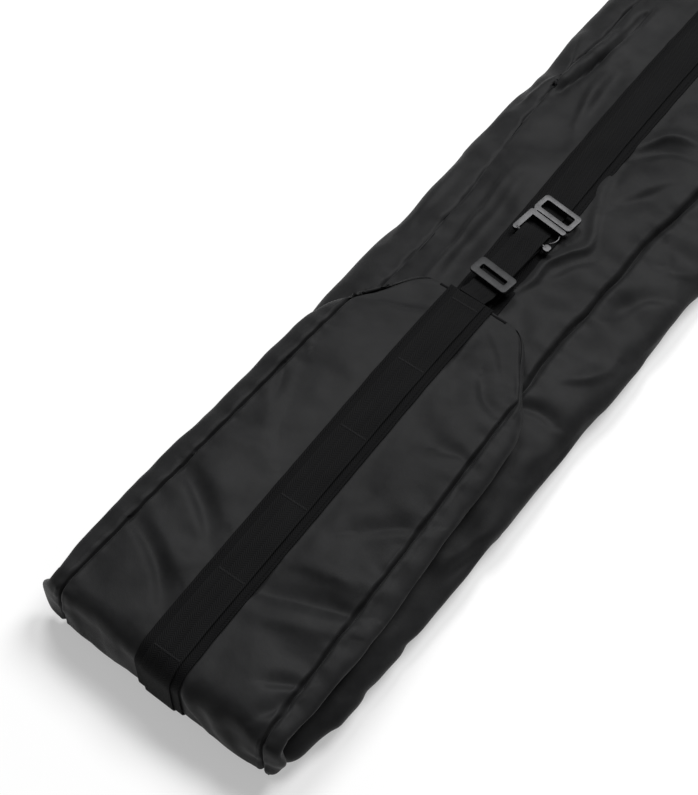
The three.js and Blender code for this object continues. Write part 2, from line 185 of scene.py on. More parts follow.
def rounded(corners, radii, step):
    """A line through corners with an arc at each inner one: its points and their distance along it."""
    corners = [np.array(c, float) for c in corners]
    line = [corners[0]]
    for before, corner, after, radius in zip(corners, corners[1:], corners[2:], radii):
        back = (before - corner) / np.linalg.norm(before - corner)
        ahead = (after - corner) / np.linalg.norm(after - corner)
        half = math.acos(np.clip(back @ ahead, -1, 1)) / 2
        middle = corner + (back + ahead) / np.linalg.norm(back + ahead) * radius / math.sin(half)
        start = corner + back * radius / math.tan(half) - middle
        end = corner + ahead * radius / math.tan(half) - middle
        angle = math.atan2(start[0] * end[1] - start[1] * end[0], start @ end)
        for turn in np.linspace(0, angle, 13):
            c, s = math.cos(turn), math.sin(turn)
            line.append(middle + np.array([c * start[0] - s * start[1], s * start[0] + c * start[1]]))
    line.append(corners[-1])
    return evenly(line, step)


def outward(line):
    """Unit normals of a side line, to the left of its direction."""
    along = unit(np.gradient(line, axis=0))
    return np.stack([-along[:, 1], along[:, 0]], axis=1)


def side_line(x, line):
    """A line of the side view as points at x, and its outward directions."""
    centre = np.column_stack([np.broadcast_to(x, len(line)), line])
    return centre, np.column_stack([np.zeros(len(line)), outward(line)])


def turned(x, y, angle):
    """x and y turned about the vertical axis."""
    return x * np.cos(angle) - y * np.sin(angle), x * np.sin(angle) + y * np.cos(angle)


def grid_normals(grid, closed):
    """Normals of a grid of points, stations by columns. A closed grid's last column repeats its first."""
    along = np.gradient(grid, axis=0)
    across = np.gradient(grid, axis=1)
    if closed:
        across[:, 0] = across[:, -1] = (grid[:, 1] - grid[:, -2]) / 2
    return unit(np.cross(across, along))


def refine(grid, closed):
    """Twice as many stations and columns, on a smooth surface through the same points."""
    for axis in (0, 1):
        grid = np.moveaxis(grid, axis, 0)
        if axis == 1 and closed:
            before, after = grid[-2:-1], grid[1:2]
        else:
            before, after = 2 * grid[:1] - grid[1:2], 2 * grid[-1:] - grid[-2:-1]
        wide = np.concatenate([before, grid, after])
        middle = (9 * (wide[1:-2] + wide[2:-1]) - wide[:-3] - wide[3:]) / 16
        finer = np.empty((2 * len(grid) - 1,) + grid.shape[1:])
        finer[::2] = grid
        finer[1::2] = middle
        grid = np.moveaxis(finer, 0, axis)
    return grid


SEAM_SHARES = (0.2, 0.45, 0.75)  # extra columns beside a seam, as shares of a column's width


def seam_columns(count, seams):
    """Places of a grid's columns, with more of them beside each seam."""
    beside = [seam + side * share for seam in seams for side in (-1, 1) for share in SEAM_SHARES]
    return np.unique(np.concatenate([np.arange(count), np.mod(beside, count - 1)]))


def at_columns(grid, places, closed=False):
    """A grid's columns at places between its own, on a smooth line through them."""
    last = grid.shape[1] - 1
    first = np.minimum(places.astype(int), last - 1)
    share = (places - first)[:, None]
    around = np.stack([first - 1, first, first + 1, first + 2])
    around = np.mod(around, last) if closed else np.clip(around, 0, last)
    a, b, c, d = (grid[:, i] for i in around)
    curve = 2 * a - 5 * b + 4 * c - d + share * (3 * (b - c) + d - a)
    return b + share / 2 * (c - a + share * curve)


def room(grid):
    """0 where a grid's stations crowd together, 1 where they stand at their usual distance."""
    step = np.linalg.norm(np.gradient(grid, axis=0), axis=2)
    return smooth(step / np.median(step), 0.3, 0.8)


def ripple(grid, size, seed):
    """Smooth noise from -1 to 1 at every point of a grid, with lumps of about the given size."""
    flat = grid.reshape(-1, 3) / size + seed
    return np.array([noise.noise(Vector(p)) for p in flat]).reshape(grid.shape[:-1])


# ---------------------------------------------------------------- meshes

def new_object(name, data, material=None):
    """An object in the scene, with its material if it has one."""
    if material:
        data.materials.append(material)
    obj = bpy.data.objects.new(name, data)
    bpy.context.scene.collection.objects.link(obj)
    return obj


def fit(made, slot, body, *nodes):
    """Puts a piece on its body, in place of its CAD nodes."""
    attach(made, body)
    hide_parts(*nodes)


def join(made, slot, bodies, ends, *nodes):
    """Bakes a piece's placement into its mesh, in place of its CAD nodes; the bodies and ends it is given
    change nothing.
    """
    start, end = in_frame(ends)
    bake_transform(made)
    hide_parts(*nodes)


def quads(rows, columns):
    """The faces of a grid of points."""
    first = (np.arange(rows - 1)[:, None] * columns + np.arange(columns - 1)).reshape(-1, 1)
    return first + np.array([0, 1, columns + 1, columns])


def rim(rows, columns):
    """The grid's border as pairs of neighbouring points, in turn."""
    top = np.arange(columns)
    right = np.arange(1, rows) * columns + columns - 1
    bottom = (rows - 1) * columns + np.arange(columns - 2, -1, -1)
    left = np.arange(rows - 2, 0, -1) * columns
    loop = np.concatenate([top, right, bottom, left])
    return np.stack([loop, np.roll(loop, -1)], axis=1)


def smooth_mesh(name, points, faces, uv, normals, material):
    """A mesh shaded smooth, with a place on the cloth and a normal for each corner of each face."""
    mesh = bpy.data.meshes.new(name)
    mesh.from_pydata(in_frame(points).tolist(), [], faces)
    mesh.uv_layers.new(name="cloth").data.foreach_set("uv", (uv * MM).ravel())
    mesh.polygons.foreach_set("use_smooth", [True] * len(faces))
    mesh.normals_split_custom_set(normals.tolist())
    return new_object(name, mesh, material)


def cloth_mesh(name, outer, normals, uv, thickness, material):
    """A closed sheet: the outer grid, the same grid one thickness in, and the edge between them."""
    rows, columns = outer.shape[:2]
    count = rows * columns
    points = np.concatenate([outer.reshape(-1, 3), (outer - normals * thickness).reshape(-1, 3)])
    face = quads(rows, columns)
    first, second = rim(rows, columns).T
    sides = np.stack([second, first, first + count, second + count], axis=1)
    faces = np.concatenate([face, face[:, ::-1] + count, sides])
    corner_uv = np.concatenate([uv.reshape(-1, 2)] * 2)[faces.ravel()]
    corner_normals = np.concatenate([normals.reshape(-1, 3), -normals.reshape(-1, 3)])[faces.ravel()]
    corners = points[sides]
    side_normals = unit(np.cross(corners[:, 1] - corners[:, 0], corners[:, 3] - corners[:, 0]))
    corner_normals[-sides.size:] = np.repeat(side_normals, 4, axis=0)
    return smooth_mesh(name, points, faces.tolist(), corner_uv, corner_normals, material)


class Skin:
    """A grid of cloth, kept whole for its folds and its shading and cut into panels at the end."""

    def __init__(self, grid, closed=False):
        self.grid = grid
        self.closed = closed
        self.measure()

    def measure(self):
        """Normals, and the cloth's own coordinates across and along, from the present grid."""
        self.normals = grid_normals(self.grid, self.closed)
        self.uv = np.stack([run_length(self.grid, 1), run_length(self.grid, 0)], axis=2)

    def push(self, distance):
        """Moves the cloth along its normals."""
        self.grid = self.grid + self.normals * distance[..., None]
        self.normals = grid_normals(self.grid, self.closed)

    def add_detail(self, values, edges):
        """A finer grid, most of all beside the first two of its panels' edges. Gives the values at its
        points and the edges' new columns."""
        self.grid = refine(self.grid, self.closed)
        places = seam_columns(self.grid.shape[1], edges[:2])
        self.grid = at_columns(self.grid, places, self.closed)
        self.measure()
        values = at_columns(refine(np.stack(values, axis=2), False), places)
        return np.moveaxis(values, 2, 0), np.searchsorted(places, edges)

    def cut(self, name, rows, columns, material):
        """One panel of the skin, with both its edges."""
        part = (slice(rows[0], rows[1] + 1), slice(columns[0], columns[1] + 1))
        return cloth_mesh(name, self.grid[part], self.normals[part], self.uv[part], CLOTH, material)

    def whole(self, name, material, thickness=CLOTH):
        return cloth_mesh(name, self.grid, self.normals, self.uv, thickness, material)


SETTLE_FRAMES = 20
SOFTEN_PASSES = 4


def soften(shift):
    """Averages a grid of movements with its neighbours, so that only the broad folds stay."""
    for _ in range(SOFTEN_PASSES):
        for axis in (0, 1):
            shift = np.moveaxis(shift, axis, 0)
            wide = np.concatenate([shift[:1], shift, shift[-1:]])
            shift = np.moveaxis((wide[:-2] + 2 * wide[1:-1] + wide[2:]) / 4, 0, axis)
    return shift


def run_cloth(obj, pins, give, pressure):
    """Runs Cloth on an object, held where its pins are 1, and gives its points at the end."""
    group = obj.vertex_groups.new(name="held")
    for level in range(11):
        members = np.flatnonzero(np.round(pins * 10) == level)
        group.add(members.tolist(), level / 10, "REPLACE")
    cloth = obj.modifiers.new("cloth", "CLOTH").settings
    cloth.quality = 6
    cloth.mass = 0.25
    cloth.tension_stiffness = cloth.compression_stiffness = 18
    cloth.shear_stiffness = 6
    cloth.bending_stiffness = 12
    cloth.shrink_min = -give
    cloth.shrink_max = -give
    cloth.use_pressure = True
    cloth.uniform_pressure_force = pressure
    cloth.effector_weights.gravity = 0
    cloth.vertex_group_mass = "held"
    for step in range(1, SETTLE_FRAMES + 1):
        bpy.context.scene.frame_set(step)
    evaluated = obj.evaluated_get(bpy.context.evaluated_depsgraph_get())
    moved = np.empty(len(pins) * 3)
    evaluated.data.vertices.foreach_get("co", moved)
    return moved.reshape(-1, 3)


def settle(skin, pins, give, pressure, limit):
    """Lets cloth that is a little larger than its grid, by its give, find its folds. No point moves
    further than the limit."""
    rows, columns = skin.grid.shape[:2]
    wrap = columns - 1 if skin.closed else columns
    index = np.arange(rows)[:, None] * wrap + np.arange(columns) % wrap
    start = in_frame(skin.grid[:, :wrap]).reshape(-1, 3)
    faces = np.stack([index[:-1, :-1], index[:-1, 1:], index[1:, 1:], index[1:, :-1]], axis=2)
    mesh = bpy.data.meshes.new("settling")
    mesh.from_pydata(start.tolist(), [], faces.reshape(-1, 4).tolist())
    obj = new_object("settling", mesh)
    moved = run_cloth(obj, pins[:, :wrap].ravel(), give, pressure)
    bpy.data.objects.remove(obj)
    bpy.data.meshes.remove(mesh)
    bpy.context.scene.frame_set(1)
    shift = soften((moved - start).reshape(rows, wrap, 3) / MM)
    size = np.linalg.norm(shift, axis=2, keepdims=True)
    shift *= limit * np.tanh(size / limit) / np.maximum(size, 1e-9)
    if skin.closed:
        shift = np.concatenate([shift, shift[:, :1]], axis=1)
    skin.grid = skin.grid + shift * (1 - pins)[..., None]


# ---------------------------------------------------------------- creases

PLANES = {"top": (0, 1), "wall": (0, 2), "side": (1, 2)}
SOFT_SIDE, STEEP_SIDE = 1.45, 0.7  # a fold falls away slowly to its left and steeply to its right
FACING = {"top": (2, 1), "wall": (1, -1), "left": (0, -1), "right": (0, 1)}


def crease(skin, facing, line, depth, width):
    """Height of one fold over a skin: a valley where depth is negative. The line is in the plane it faces."""
    plane = PLANES.get(facing, PLANES["side"])
    axis, sign = FACING[facing]
    line = curve_through(line, width)
    spots = skin.grid[..., plane]
    near = np.all((spots > line.min(0) - 4 * width) & (spots < line.max(0) + 4 * width), axis=2)
    height = np.zeros(spots.shape[:2])
    if not near.any():
        return height
    spot = spots[near]
    run = run_length(line)
    best = np.full(len(spot), 1e9)
    place = np.zeros(len(spot))
    for i, (a, b) in enumerate(zip(line[:-1], line[1:])):
        share = np.clip((spot - a) @ (b - a) / ((b - a) @ (b - a)), 0, 1)
        off = spot - a - share[:, None] * (b - a)
        away = np.linalg.norm(off, axis=1)
        away /= np.where((b - a)[0] * off[:, 1] > (b - a)[1] * off[:, 0], SOFT_SIDE, STEEP_SIDE)
        closer = away < best
        best[closer] = away[closer]
        place[closer] = ((run[i] + share * (run[i + 1] - run[i])) / run[-1])[closer]
    ends = np.sin(np.pi * np.clip(place * 0.84 + 0.08, 0, 1)) ** 0.7
    faces = smooth(skin.normals[near][:, axis] * sign, 0.15, 0.6)
    height[near] = depth * ends * faces * np.exp(-((best / width) ** 2))
    return height


def fold_all(skin, creases, free=1.0):
    """Pushes a skin into its creases, one after the other, as far as each place is free to move."""
    for facing, line, depth, width in creases:
        skin.push(crease(skin, facing, line, depth, width) * free)


# ---------------------------------------------------------------- materials

class Nodes:
    """A short way to write a material's node tree."""

    def __init__(self, name):
        self.material = bpy.data.materials.new(name)
        self.material.use_nodes = True
        self.tree = self.material.node_tree
        self.shader = self.tree.nodes["Principled BSDF"]

    def put(self, socket, value):
        """Links a socket to another one, or sets it to a constant."""
        if isinstance(value, bpy.types.NodeSocket):
            self.tree.links.new(value, socket)
        else:
            socket.default_value = value

    def add(self, kind, inputs, **settings):
        node = self.tree.nodes.new("ShaderNode" + kind)
        for key, value in settings.items():
            setattr(node, key, value)
        for key, value in inputs.items():
            self.put(node.inputs[key], value)
        return node

    def set(self, **values):
        for key, value in values.items():
            self.put(self.shader.inputs[key.replace("_", " ")], value)

    def math(self, operation, a, b=0.0):
        return self.add("Math", {0: a, 1: b}, operation=operation).outputs[0]

    def mixed(self, a, share_a, b, share_b):
        """Two values added, each times its share."""
        return self.math("ADD", self.math("MULTIPLY", a, share_a), self.math("MULTIPLY", b, share_b))

    def object_place(self):
        return self.add("TexCoord", {}).outputs["Object"]

    def cloth_place(self, scale=(1, 1, 1)):
        uv = self.add("UVMap", {}, uv_map="cloth").outputs["UV"]
        return self.add("Mapping", {"Vector": uv, "Scale": scale}).outputs["Vector"]

    def noise(self, vector, scale, detail=3.0, roughness=0.55):
        inputs = {"Vector": vector, "Scale": scale, "Detail": detail, "Roughness": roughness}
        return self.add("TexNoise", inputs).outputs["Fac"]

    def weave(self, pitch):
        """Crossing threads of a plain weave, in metres between threads."""
        inputs = {"Vector": self.cloth_place(), "Scale": 0.314 / pitch, "Distortion": 0.0}
        waves = [self.add("TexWave", inputs, wave_type="BANDS", bands_direction=direction, wave_profile="SIN")
                 for direction in ("X", "Y")]
        return self.math("MULTIPLY", *(wave.outputs["Fac"] for wave in waves))

    def ramp(self, value, dark, light, low=0.3, high=0.7):
        node = self.add("ValToRGB", {"Fac": value})
        ends = node.color_ramp.elements
        ends[0].position, ends[0].color = low, (*dark, 1)
        ends[1].position, ends[1].color = high, (*light, 1)
        return node.outputs["Color"]

    def between(self, value, low, high):
        return self.add("MapRange", {"Value": value, "To Min": low, "To Max": high}).outputs[0]

    def bump(self, height, distance, strength=1.0, below=None):
        inputs = {"Height": height, "Distance": distance, "Strength": strength}
        if below is not None:
            inputs["Normal"] = below
        return self.add("Bump", inputs).outputs["Normal"]


def shell_cloth():
    """Coated nylon: a fine weave with slubs and small creases, slightly clouded."""
    n = Nodes("shell_nylon")
    place = n.cloth_place()
    broad = n.noise(place, 9.0, 4.0)
    cloudy = n.noise(place, 55.0, 5.0, 0.6)
    slub = n.noise(n.cloth_place((1, 14, 1)), 260.0, 2.0)
    fine = n.bump(n.weave(0.0007), 0.00009, 0.55)
    creased = n.bump(n.noise(place, 120.0, 4.0, 0.6), 0.0005, 0.35, fine)
    n.set(Base_Color=n.ramp(n.mixed(broad, 0.6, cloudy, 0.4),
                            (0.0105, 0.0106, 0.011), (0.0185, 0.0187, 0.0192), 0.35, 0.65),
          Roughness=n.between(n.mixed(cloudy, 0.7, slub, 0.3), 0.4, 0.52),
          Normal=n.bump(slub, 0.00012, 0.3, creased))
    n.set(Sheen_Weight=0.03, Sheen_Roughness=0.4, Specular_IOR_Level=0.12, IOR=1.3)
    return n.material


def lining_cloth():
    n = Nodes("lining_polyester")
    cloudy = n.noise(n.cloth_place(), 70.0, 4.0)
    n.set(Base_Color=n.ramp(cloudy, (0.011, 0.0112, 0.0117), (0.021, 0.0213, 0.022)),
          Roughness=n.between(cloudy, 0.6, 0.78),
          Normal=n.bump(n.weave(0.0009), 0.0002, 0.7))
    n.set(Sheen_Weight=0.05, Sheen_Roughness=0.5, Specular_IOR_Level=0.2)
    return n.material


RIB_PITCH = 0.0024  # metres from one slanted rib of the webbing to the next


def webbing_cloth(name, dark, light):
    """Herringbone webbing: slanted ribs that change sides at every rib column."""
    n = Nodes(name)
    place = n.add("SeparateXYZ", {"Vector": n.cloth_place()})
    across, along = place.outputs["X"], place.outputs["Y"]
    slant = n.math("ADD", along, n.math("PINGPONG", across, RIB_PITCH * 2.0))
    rib = n.math("SINE", n.math("MULTIPLY", slant, 2 * math.pi / RIB_PITCH))
    edge = n.math("SINE", n.math("MULTIPLY", across, math.pi / RIB_PITCH))
    thread = n.mixed(rib, 0.6, edge, 0.1)
    fuzz = n.noise(n.cloth_place(), 900.0, 2.0)
    worn = n.noise(n.cloth_place((1, 0.4, 1)), 45.0, 4.0)
    shade = n.mixed(n.math("ADD", thread, 0.75), 0.35, worn, 0.6)
    n.set(Base_Color=n.ramp(shade, dark, light, 0.25, 0.85),
          Roughness=n.between(worn, 0.58, 0.76),
          Normal=n.bump(n.mixed(thread, 1.0, fuzz, 0.6), 0.00022, 0.8))
    n.set(Sheen_Weight=0.01, Sheen_Roughness=0.5, Specular_IOR_Level=0.04)
    return n.material


def sewing_thread(name, dark, light):
    n = Nodes(name)
    strand = n.noise(n.object_place(), 2200.0, 2.0)
    n.set(Base_Color=n.ramp(strand, dark, light),
          Roughness=n.between(strand, 0.65, 0.85),
          Normal=n.bump(strand, 0.0001, 0.6))
    n.set(Sheen_Weight=0.01, Sheen_Roughness=0.4, Specular_IOR_Level=0.04)
    return n.material


def satin_metal(name, dark, light, rough, grain):
    """Tumbled cast metal: slight clouding, fine grain and small scuffs."""
    n = Nodes(name)
    place = n.object_place()
    cloudy = n.noise(place, 90.0, 5.0, 0.6)
    fine = n.noise(place, 2600.0, 3.0)
    streaks = n.add("Mapping", {"Vector": place, "Scale": (1, 7, 1), "Rotation": (0, 0, 0.6)}).outputs[0]
    scuff = n.noise(streaks, 420.0, 4.0, 0.7)
    n.set(Base_Color=n.ramp(cloudy, dark, light),
          Roughness=n.between(n.mixed(fine, 0.4, scuff, 0.6), rough - 0.08, rough + 0.12),
          Normal=n.bump(n.mixed(fine, 1.0, scuff, 0.5), grain, 0.5), Metallic=0.85)
    return n.material


def pad_foam():
    n = Nodes("pad_foam")
    cells = n.add("TexVoronoi", {"Vector": n.object_place(), "Scale": 900.0}).outputs["Distance"]
    n.set(Base_Color=n.ramp(cells, (0.05, 0.05, 0.052), (0.1, 0.1, 0.104), 0.0, 0.8),
          Roughness=n.between(cells, 0.9, 0.97),
          Normal=n.bump(cells, 0.0004, 0.7))
    return n.material


def floor_paint():
    n = Nodes("studio_floor")
    soft = n.noise(n.object_place(), 2.0, 2.0)
    n.set(Base_Color=n.ramp(soft, (0.5, 0.5, 0.5), (0.52, 0.52, 0.52)), Roughness=n.between(soft, 0.85, 0.9))
    n.set(Emission_Color=(1, 1, 1, 1), Emission_Strength=0.4)
    return n.material


SHELL = shell_cloth()
LINING = lining_cloth()
BAND = webbing_cloth("base_webbing", (0.002, 0.002, 0.0022), (0.0066, 0.0067, 0.007))
STRIP = webbing_cloth("strip_webbing", (0.0024, 0.0024, 0.0026), (0.0086, 0.0087, 0.009))
THREAD = sewing_thread("sewing_thread", (0.0015, 0.0015, 0.0016), (0.0035, 0.0035, 0.0037))
TACK_THREAD = sewing_thread("bartack_thread", (0.01, 0.01, 0.0104), (0.022, 0.022, 0.0228))
HOOK_METAL = satin_metal("hook_cast_metal", (0.034, 0.034, 0.035), (0.054, 0.054, 0.0556), 0.42, 0.00006)
GATE_METAL = satin_metal("gate_wire_steel", (0.042, 0.042, 0.043), (0.066, 0.066, 0.0675), 0.34, 0.00003)
SLIDER_METAL = satin_metal("slider_painted_metal", (0.015, 0.0152, 0.0158), (0.026, 0.0263, 0.027),
                           0.5, 0.00005)
FOAM = pad_foam()


# ---------------------------------------------------------------- the fold and the flap

def flap_seam(y):
    """Half the width between the flap's seams."""
    return FLAP_SEAM_START - FLAP_SEAM_TAPER * np.clip(y, 0, None)


def under_band(x):
    """1 where the base band lies over the cloth, 0 beside it."""
    return 1 - smooth(np.abs(x), BAND_HALF + 2, BAND_HALF + 8)


flap_half = through([0, 25, 50, 147, 241, 340, SHOULDER_Y, 398, 421, 443, 462, 474, TIP_Y, TIP_Y + 10],
                    [130, 130, 131, 131.5, 126, 121.5, 118.5, 110, 96, 82, 70, 60, 53, 50])


def fold_path(step):
    """The strip's outer face in the side view: from under the body, up the end wall and along the flap."""
    corners = [(SKIRT, 0), (0, 0), (0, STRIP_TOP), (365, STRIP_TOP), (425, STRIP_TOP - 3),
               (TIP_Y + 1, STRIP_TOP - TIP_DROP), (TIP_Y + 3, STRIP_TOP - TIP_DROP - 6)]
    return rounded(corners, [FLOOR_CORNER, WALL_CORNER, 150, 150, 4], step)


def wrap_shape(place):
    """Along the fold's path: half width, how deep the gusset wraps in, how far it turns back, and the
    share of its depth where it is widest."""
    low = SKIRT - FLOOR_CORNER
    wall = low + FLOOR_CORNER * math.pi / 2
    high = wall + STRIP_TOP - FLOOR_CORNER - WALL_CORNER
    top = high + WALL_CORNER * math.pi / 2
    flap = [top + 20, top + 1000]
    places = [0, low - 4, low + 8, wall, wall + 14, high - 12, high, top, *flap]
    under = STRIP_TOP - FLAP_UNDER - 0.5
    depth = through(places, [4.2, 4.6, 8, 13, 19.5, 20.5, 21.5, 22.5, under, under])(place)
    width = through(places, [112, 113, 120, 130, 136.5, 137, 133, 130, 131, 131])(place)
    back = through(places, [0.2, 0.3, 1, 2, 7, 11, 14, 16, 22, 24])(place)
    belly = through(places, [0.45, 0.45, 0.5, 0.6, 0.66, 0.62, 0.52, 0.46, 0.45, 0.45])(place)
    return width, depth, back, belly, top


PANEL_SHARES = np.concatenate([np.linspace(0, 0.94, 20), [0.965, 0.985, 1.0]])
PANEL_COLUMNS = len(PANEL_SHARES) - 1  # grid columns from the fold's middle to a seam
ROLL = np.linspace(0, 1, 15)[1:] * math.pi  # the gusset's columns, round its edge and back under
CORNER_PINCH = 0.34  # the gussets are drawn in by this share at the front corners
FOLD_STEP, BODY_STEP = 5, 6.5  # between the stations of the fold's skin and of the body's


def fold_section(seam, width, depth, back, belly, recess):
    """Half the fold's outline at one station, from its middle: x, and depth below the strip's face."""
    inside = max(recess + 0.5, depth)
    x = seam * PANEL_SHARES
    sag = np.minimum(2.4 * PANEL_SHARES ** 3, inside - recess - 0.3)
    drop = recess + sag + under_band(x) * (SHELL_DEPTH + 0.4 - recess)
    start = drop[-1]
    mid = max(recess + belly * (inside - recess), start)
    outer = ROLL <= math.pi / 2
    rolled_x = np.where(outer, seam + (width - seam) * np.sin(ROLL), width - back * (1 - np.sin(ROLL)))
    rolled = np.where(outer, start + (mid - start) * (1 - np.cos(ROLL)), mid + (inside - mid) * -np.cos(ROLL))
    return np.stack([np.concatenate([x, rolled_x]), np.concatenate([drop, rolled])], axis=1)


def fold_grid(step):
    """The outer skin of the fold and the flap, with its line in the side view and each station's place."""
    line, place = fold_path(step)
    width, depth, back, belly, top = wrap_shape(place)
    on_flap = smooth(place, top - 10, top + 25)
    width = width * (1 - on_flap) + flap_half(line[:, 0]) * on_flap
    seam = np.minimum(flap_seam(line[:, 0]), width - 5)
    tip = smooth(line[:, 0], SHOULDER_Y, TIP_Y)
    depth = depth - tip * (STRIP_TOP - line[:, 1]) * (place > top)
    back = back * (1 - 0.5 * tip)
    recess = SHELL_DEPTH - (SHELL_DEPTH - 0.4) * (1 - smooth(place, 20, SKIRT + 8))
    rows = []
    for point, out, *sizes in zip(line, outward(line), seam, width, depth, back, belly, recess):
        half = fold_section(*sizes)
        both = np.concatenate([half[:0:-1] * [-1, 1], half])
        rows.append(np.column_stack([both[:, 0], point - both[:, 1:] * out]))
    grid = np.array(rows)
    past_seam = np.maximum(np.abs(grid[..., 0]) - seam[:, None], 0)
    low, high = smooth(place, SKIRT - 30, SKIRT), 1 - smooth(place, SKIRT + 12, SKIRT + 72)
    left_pinch = CORNER_PINCH * low * high
    right_pinch = CORNER_PINCH * (1 - smooth(place, SKIRT + 4, SKIRT + 64))
    grid[..., 0] -= past_seam * np.where(grid[..., 0] < 0, left_pinch[:, None], right_pinch[:, None])
    grid[..., 0], grid[..., 1] = turned(grid[..., 0], grid[..., 1], (FLAP_TURN * on_flap)[:, None])
    return grid, line, place


FLAP_CREASES = [
    ("top", [(-106, 97), (-80, 88), (-48, 68), (-31, 50)], -4.9, 9),
    ("top", [(-103, 112), (-72, 101), (-40, 82)], 3.1, 10),
    ("top", [(-107, 166), (-77, 152), (-52, 135), (-35, 118)], -4.8, 9),
    ("top", [(-104, 182), (-68, 167), (-42, 149)], 2.8, 10),
    ("top", [(-92, 326), (-76, 286), (-62, 248), (-44, 224)], -4.0, 14),
    ("top", [(-106, 312), (-96, 290), (-88, 272)], -3.0, 6),
    ("top", [(22, 112), (61, 127), (90, 140), (112, 151)], -6.8, 11),
    ("top", [(30, 94), (75, 108), (108, 126)], 3.4, 13),
    ("top", [(58, 212), (77, 232), (103, 254)], -3.8, 9),
    ("top", [(30, 151), (58, 160), (95, 168)], 2.6, 9),
    ("top", [(84, 50), (110, 70)], -4.1, 6),
    ("top", [(96, 18), (113, 54)], -3.4, 6),
    ("top", [(0, 432), (28, 393), (46, 368)], -3.4, 11),
    ("top", [(48, 410), (64, 392), (82, 384)], -5.2, 7),
    ("top", [(66, 322), (84, 330), (98, 326)], -2.6, 7),
    ("top", [(-100, 412), (-66, 434), (-28, 456)], -4.9, 12),
    ("top", [(20, 462), (44, 446), (66, 424)], -3.0, 9),
    ("wall", [(-98, 72), (-92, 46), (-84, 16)], -1.8, 8),
    ("wall", [(30, 74), (38, 46), (54, 14)], 2.8, 6),
    ("wall", [(-70, 74), (-60, 50), (-56, 24)], 1.3, 10),
    ("wall", [(-44, 70), (-38, 44), (-40, 18)], -1.4, 8),
    ("wall", [(40, 72), (50, 50), (48, 22)], -1.4, 8),
    ("wall", [(60, 74), (64, 52), (70, 30)], 1.2, 9),
    ("wall", [(72, 70), (84, 44), (96, 20)], -1.8, 9),
    ("right", [(24, 60), (22, 40), (18, 18)], -3.0, 6),
    ("left", [(24, 62), (20, 40), (18, 16)], -2.6, 6),
]


def seam_work(skin, off_seam, along, valley, cut, seed):
    """A seam: a soft valley with a narrow cut in it, and the cloth drawn into gathers on both sides.
    valley and cut are (depth, half width). The gathers are 31 mm and 17 mm long."""
    away = np.abs(off_seam)
    sunk = valley[0] * np.exp(-((away / valley[1]) ** 2)) + cut[0] * np.exp(-((away / cut[1]) ** 2))
    lips = 0.3 * cut[0] * np.exp(-(((away - 3.4 * cut[1]) / (1.7 * cut[1])) ** 2))
    drift = ripple(skin.grid, 55, seed) * 3.5
    gather = np.cos(along * 2 * math.pi / 31 + drift) * np.exp(-away / 13)
    gather += 0.6 * np.cos(along * 2 * math.pi / 17 - drift + 2) * np.exp(-away / 6)
    held = 1 - np.exp(-((away / 3) ** 2))
    return lips - sunk + gather * held


def fold_pins(grid, line, place):
    """How firmly the fold's cloth is held: under the band, at the seams, the edges and the ends."""
    middle = grid.shape[1] // 2
    column = np.abs(np.arange(grid.shape[1]) - middle)
    row = np.arange(len(grid))[:, None]
    band_x = (BAND_START_X - (FLAP_TURN + FLAP_BAND_TURN) * line[:, 0] * (place > SKIRT))[:, None]
    near_band = 1 - smooth(np.abs(grid[..., 0] - band_x), BAND_HALF + 1, BAND_HALF + 15)
    at_seam = 0.85 * np.exp(-((np.abs(column - PANEL_COLUMNS) / 1.2) ** 2))
    at_edge = smooth(column, middle - 5, middle)
    at_ends = np.maximum(1 - smooth(row, 2, 14), smooth(row, len(grid) - 6, len(grid) - 1))
    return np.maximum.reduce(np.broadcast_arrays(near_band, at_seam, at_edge, at_ends, 1 - room(grid)))


def build_fold_skin():
    grid, line, place = fold_grid(FOLD_STEP)
    skin = Skin(grid)
    pins = fold_pins(grid, line, place)
    skin.push(ripple(grid, 34, 3.3) * 0.7 * (1 - pins))
    settle(skin, pins, 0.014, 0.5, 5.0)
    across = run_length(grid, 1)
    middle = grid.shape[1] // 2
    seams = np.array([middle - PANEL_COLUMNS, middle + PANEL_COLUMNS])
    values = [across - across[:, [seam]] for seam in seams]
    values.append(np.broadcast_to(place[:, None], across.shape))
    (*off_seams, along), seams = skin.add_detail(values, 2 * seams)
    free = room(skin.grid)
    fold_all(skin, FLAP_CREASES, free)
    on_flap = smooth(along, 20, SKIRT) * (1 - 0.6 * smooth(skin.grid[..., 1], 400, 440)) * free
    for off_seam, seed in zip(off_seams, (5.1, 6.1)):
        skin.push(seam_work(skin, off_seam, along, (1.2, 5), (3.7, 1.1), seed) * on_flap)
    skin.push(ripple(skin.grid, 17, 9.4) * 0.35 * (np.abs(skin.grid[..., 0]) > 30) * free)
    return skin, along[:, 0], *seams


def row_at(places, value):
    """The row whose place is nearest to a value."""
    return int(np.argmin(np.abs(places - value)))


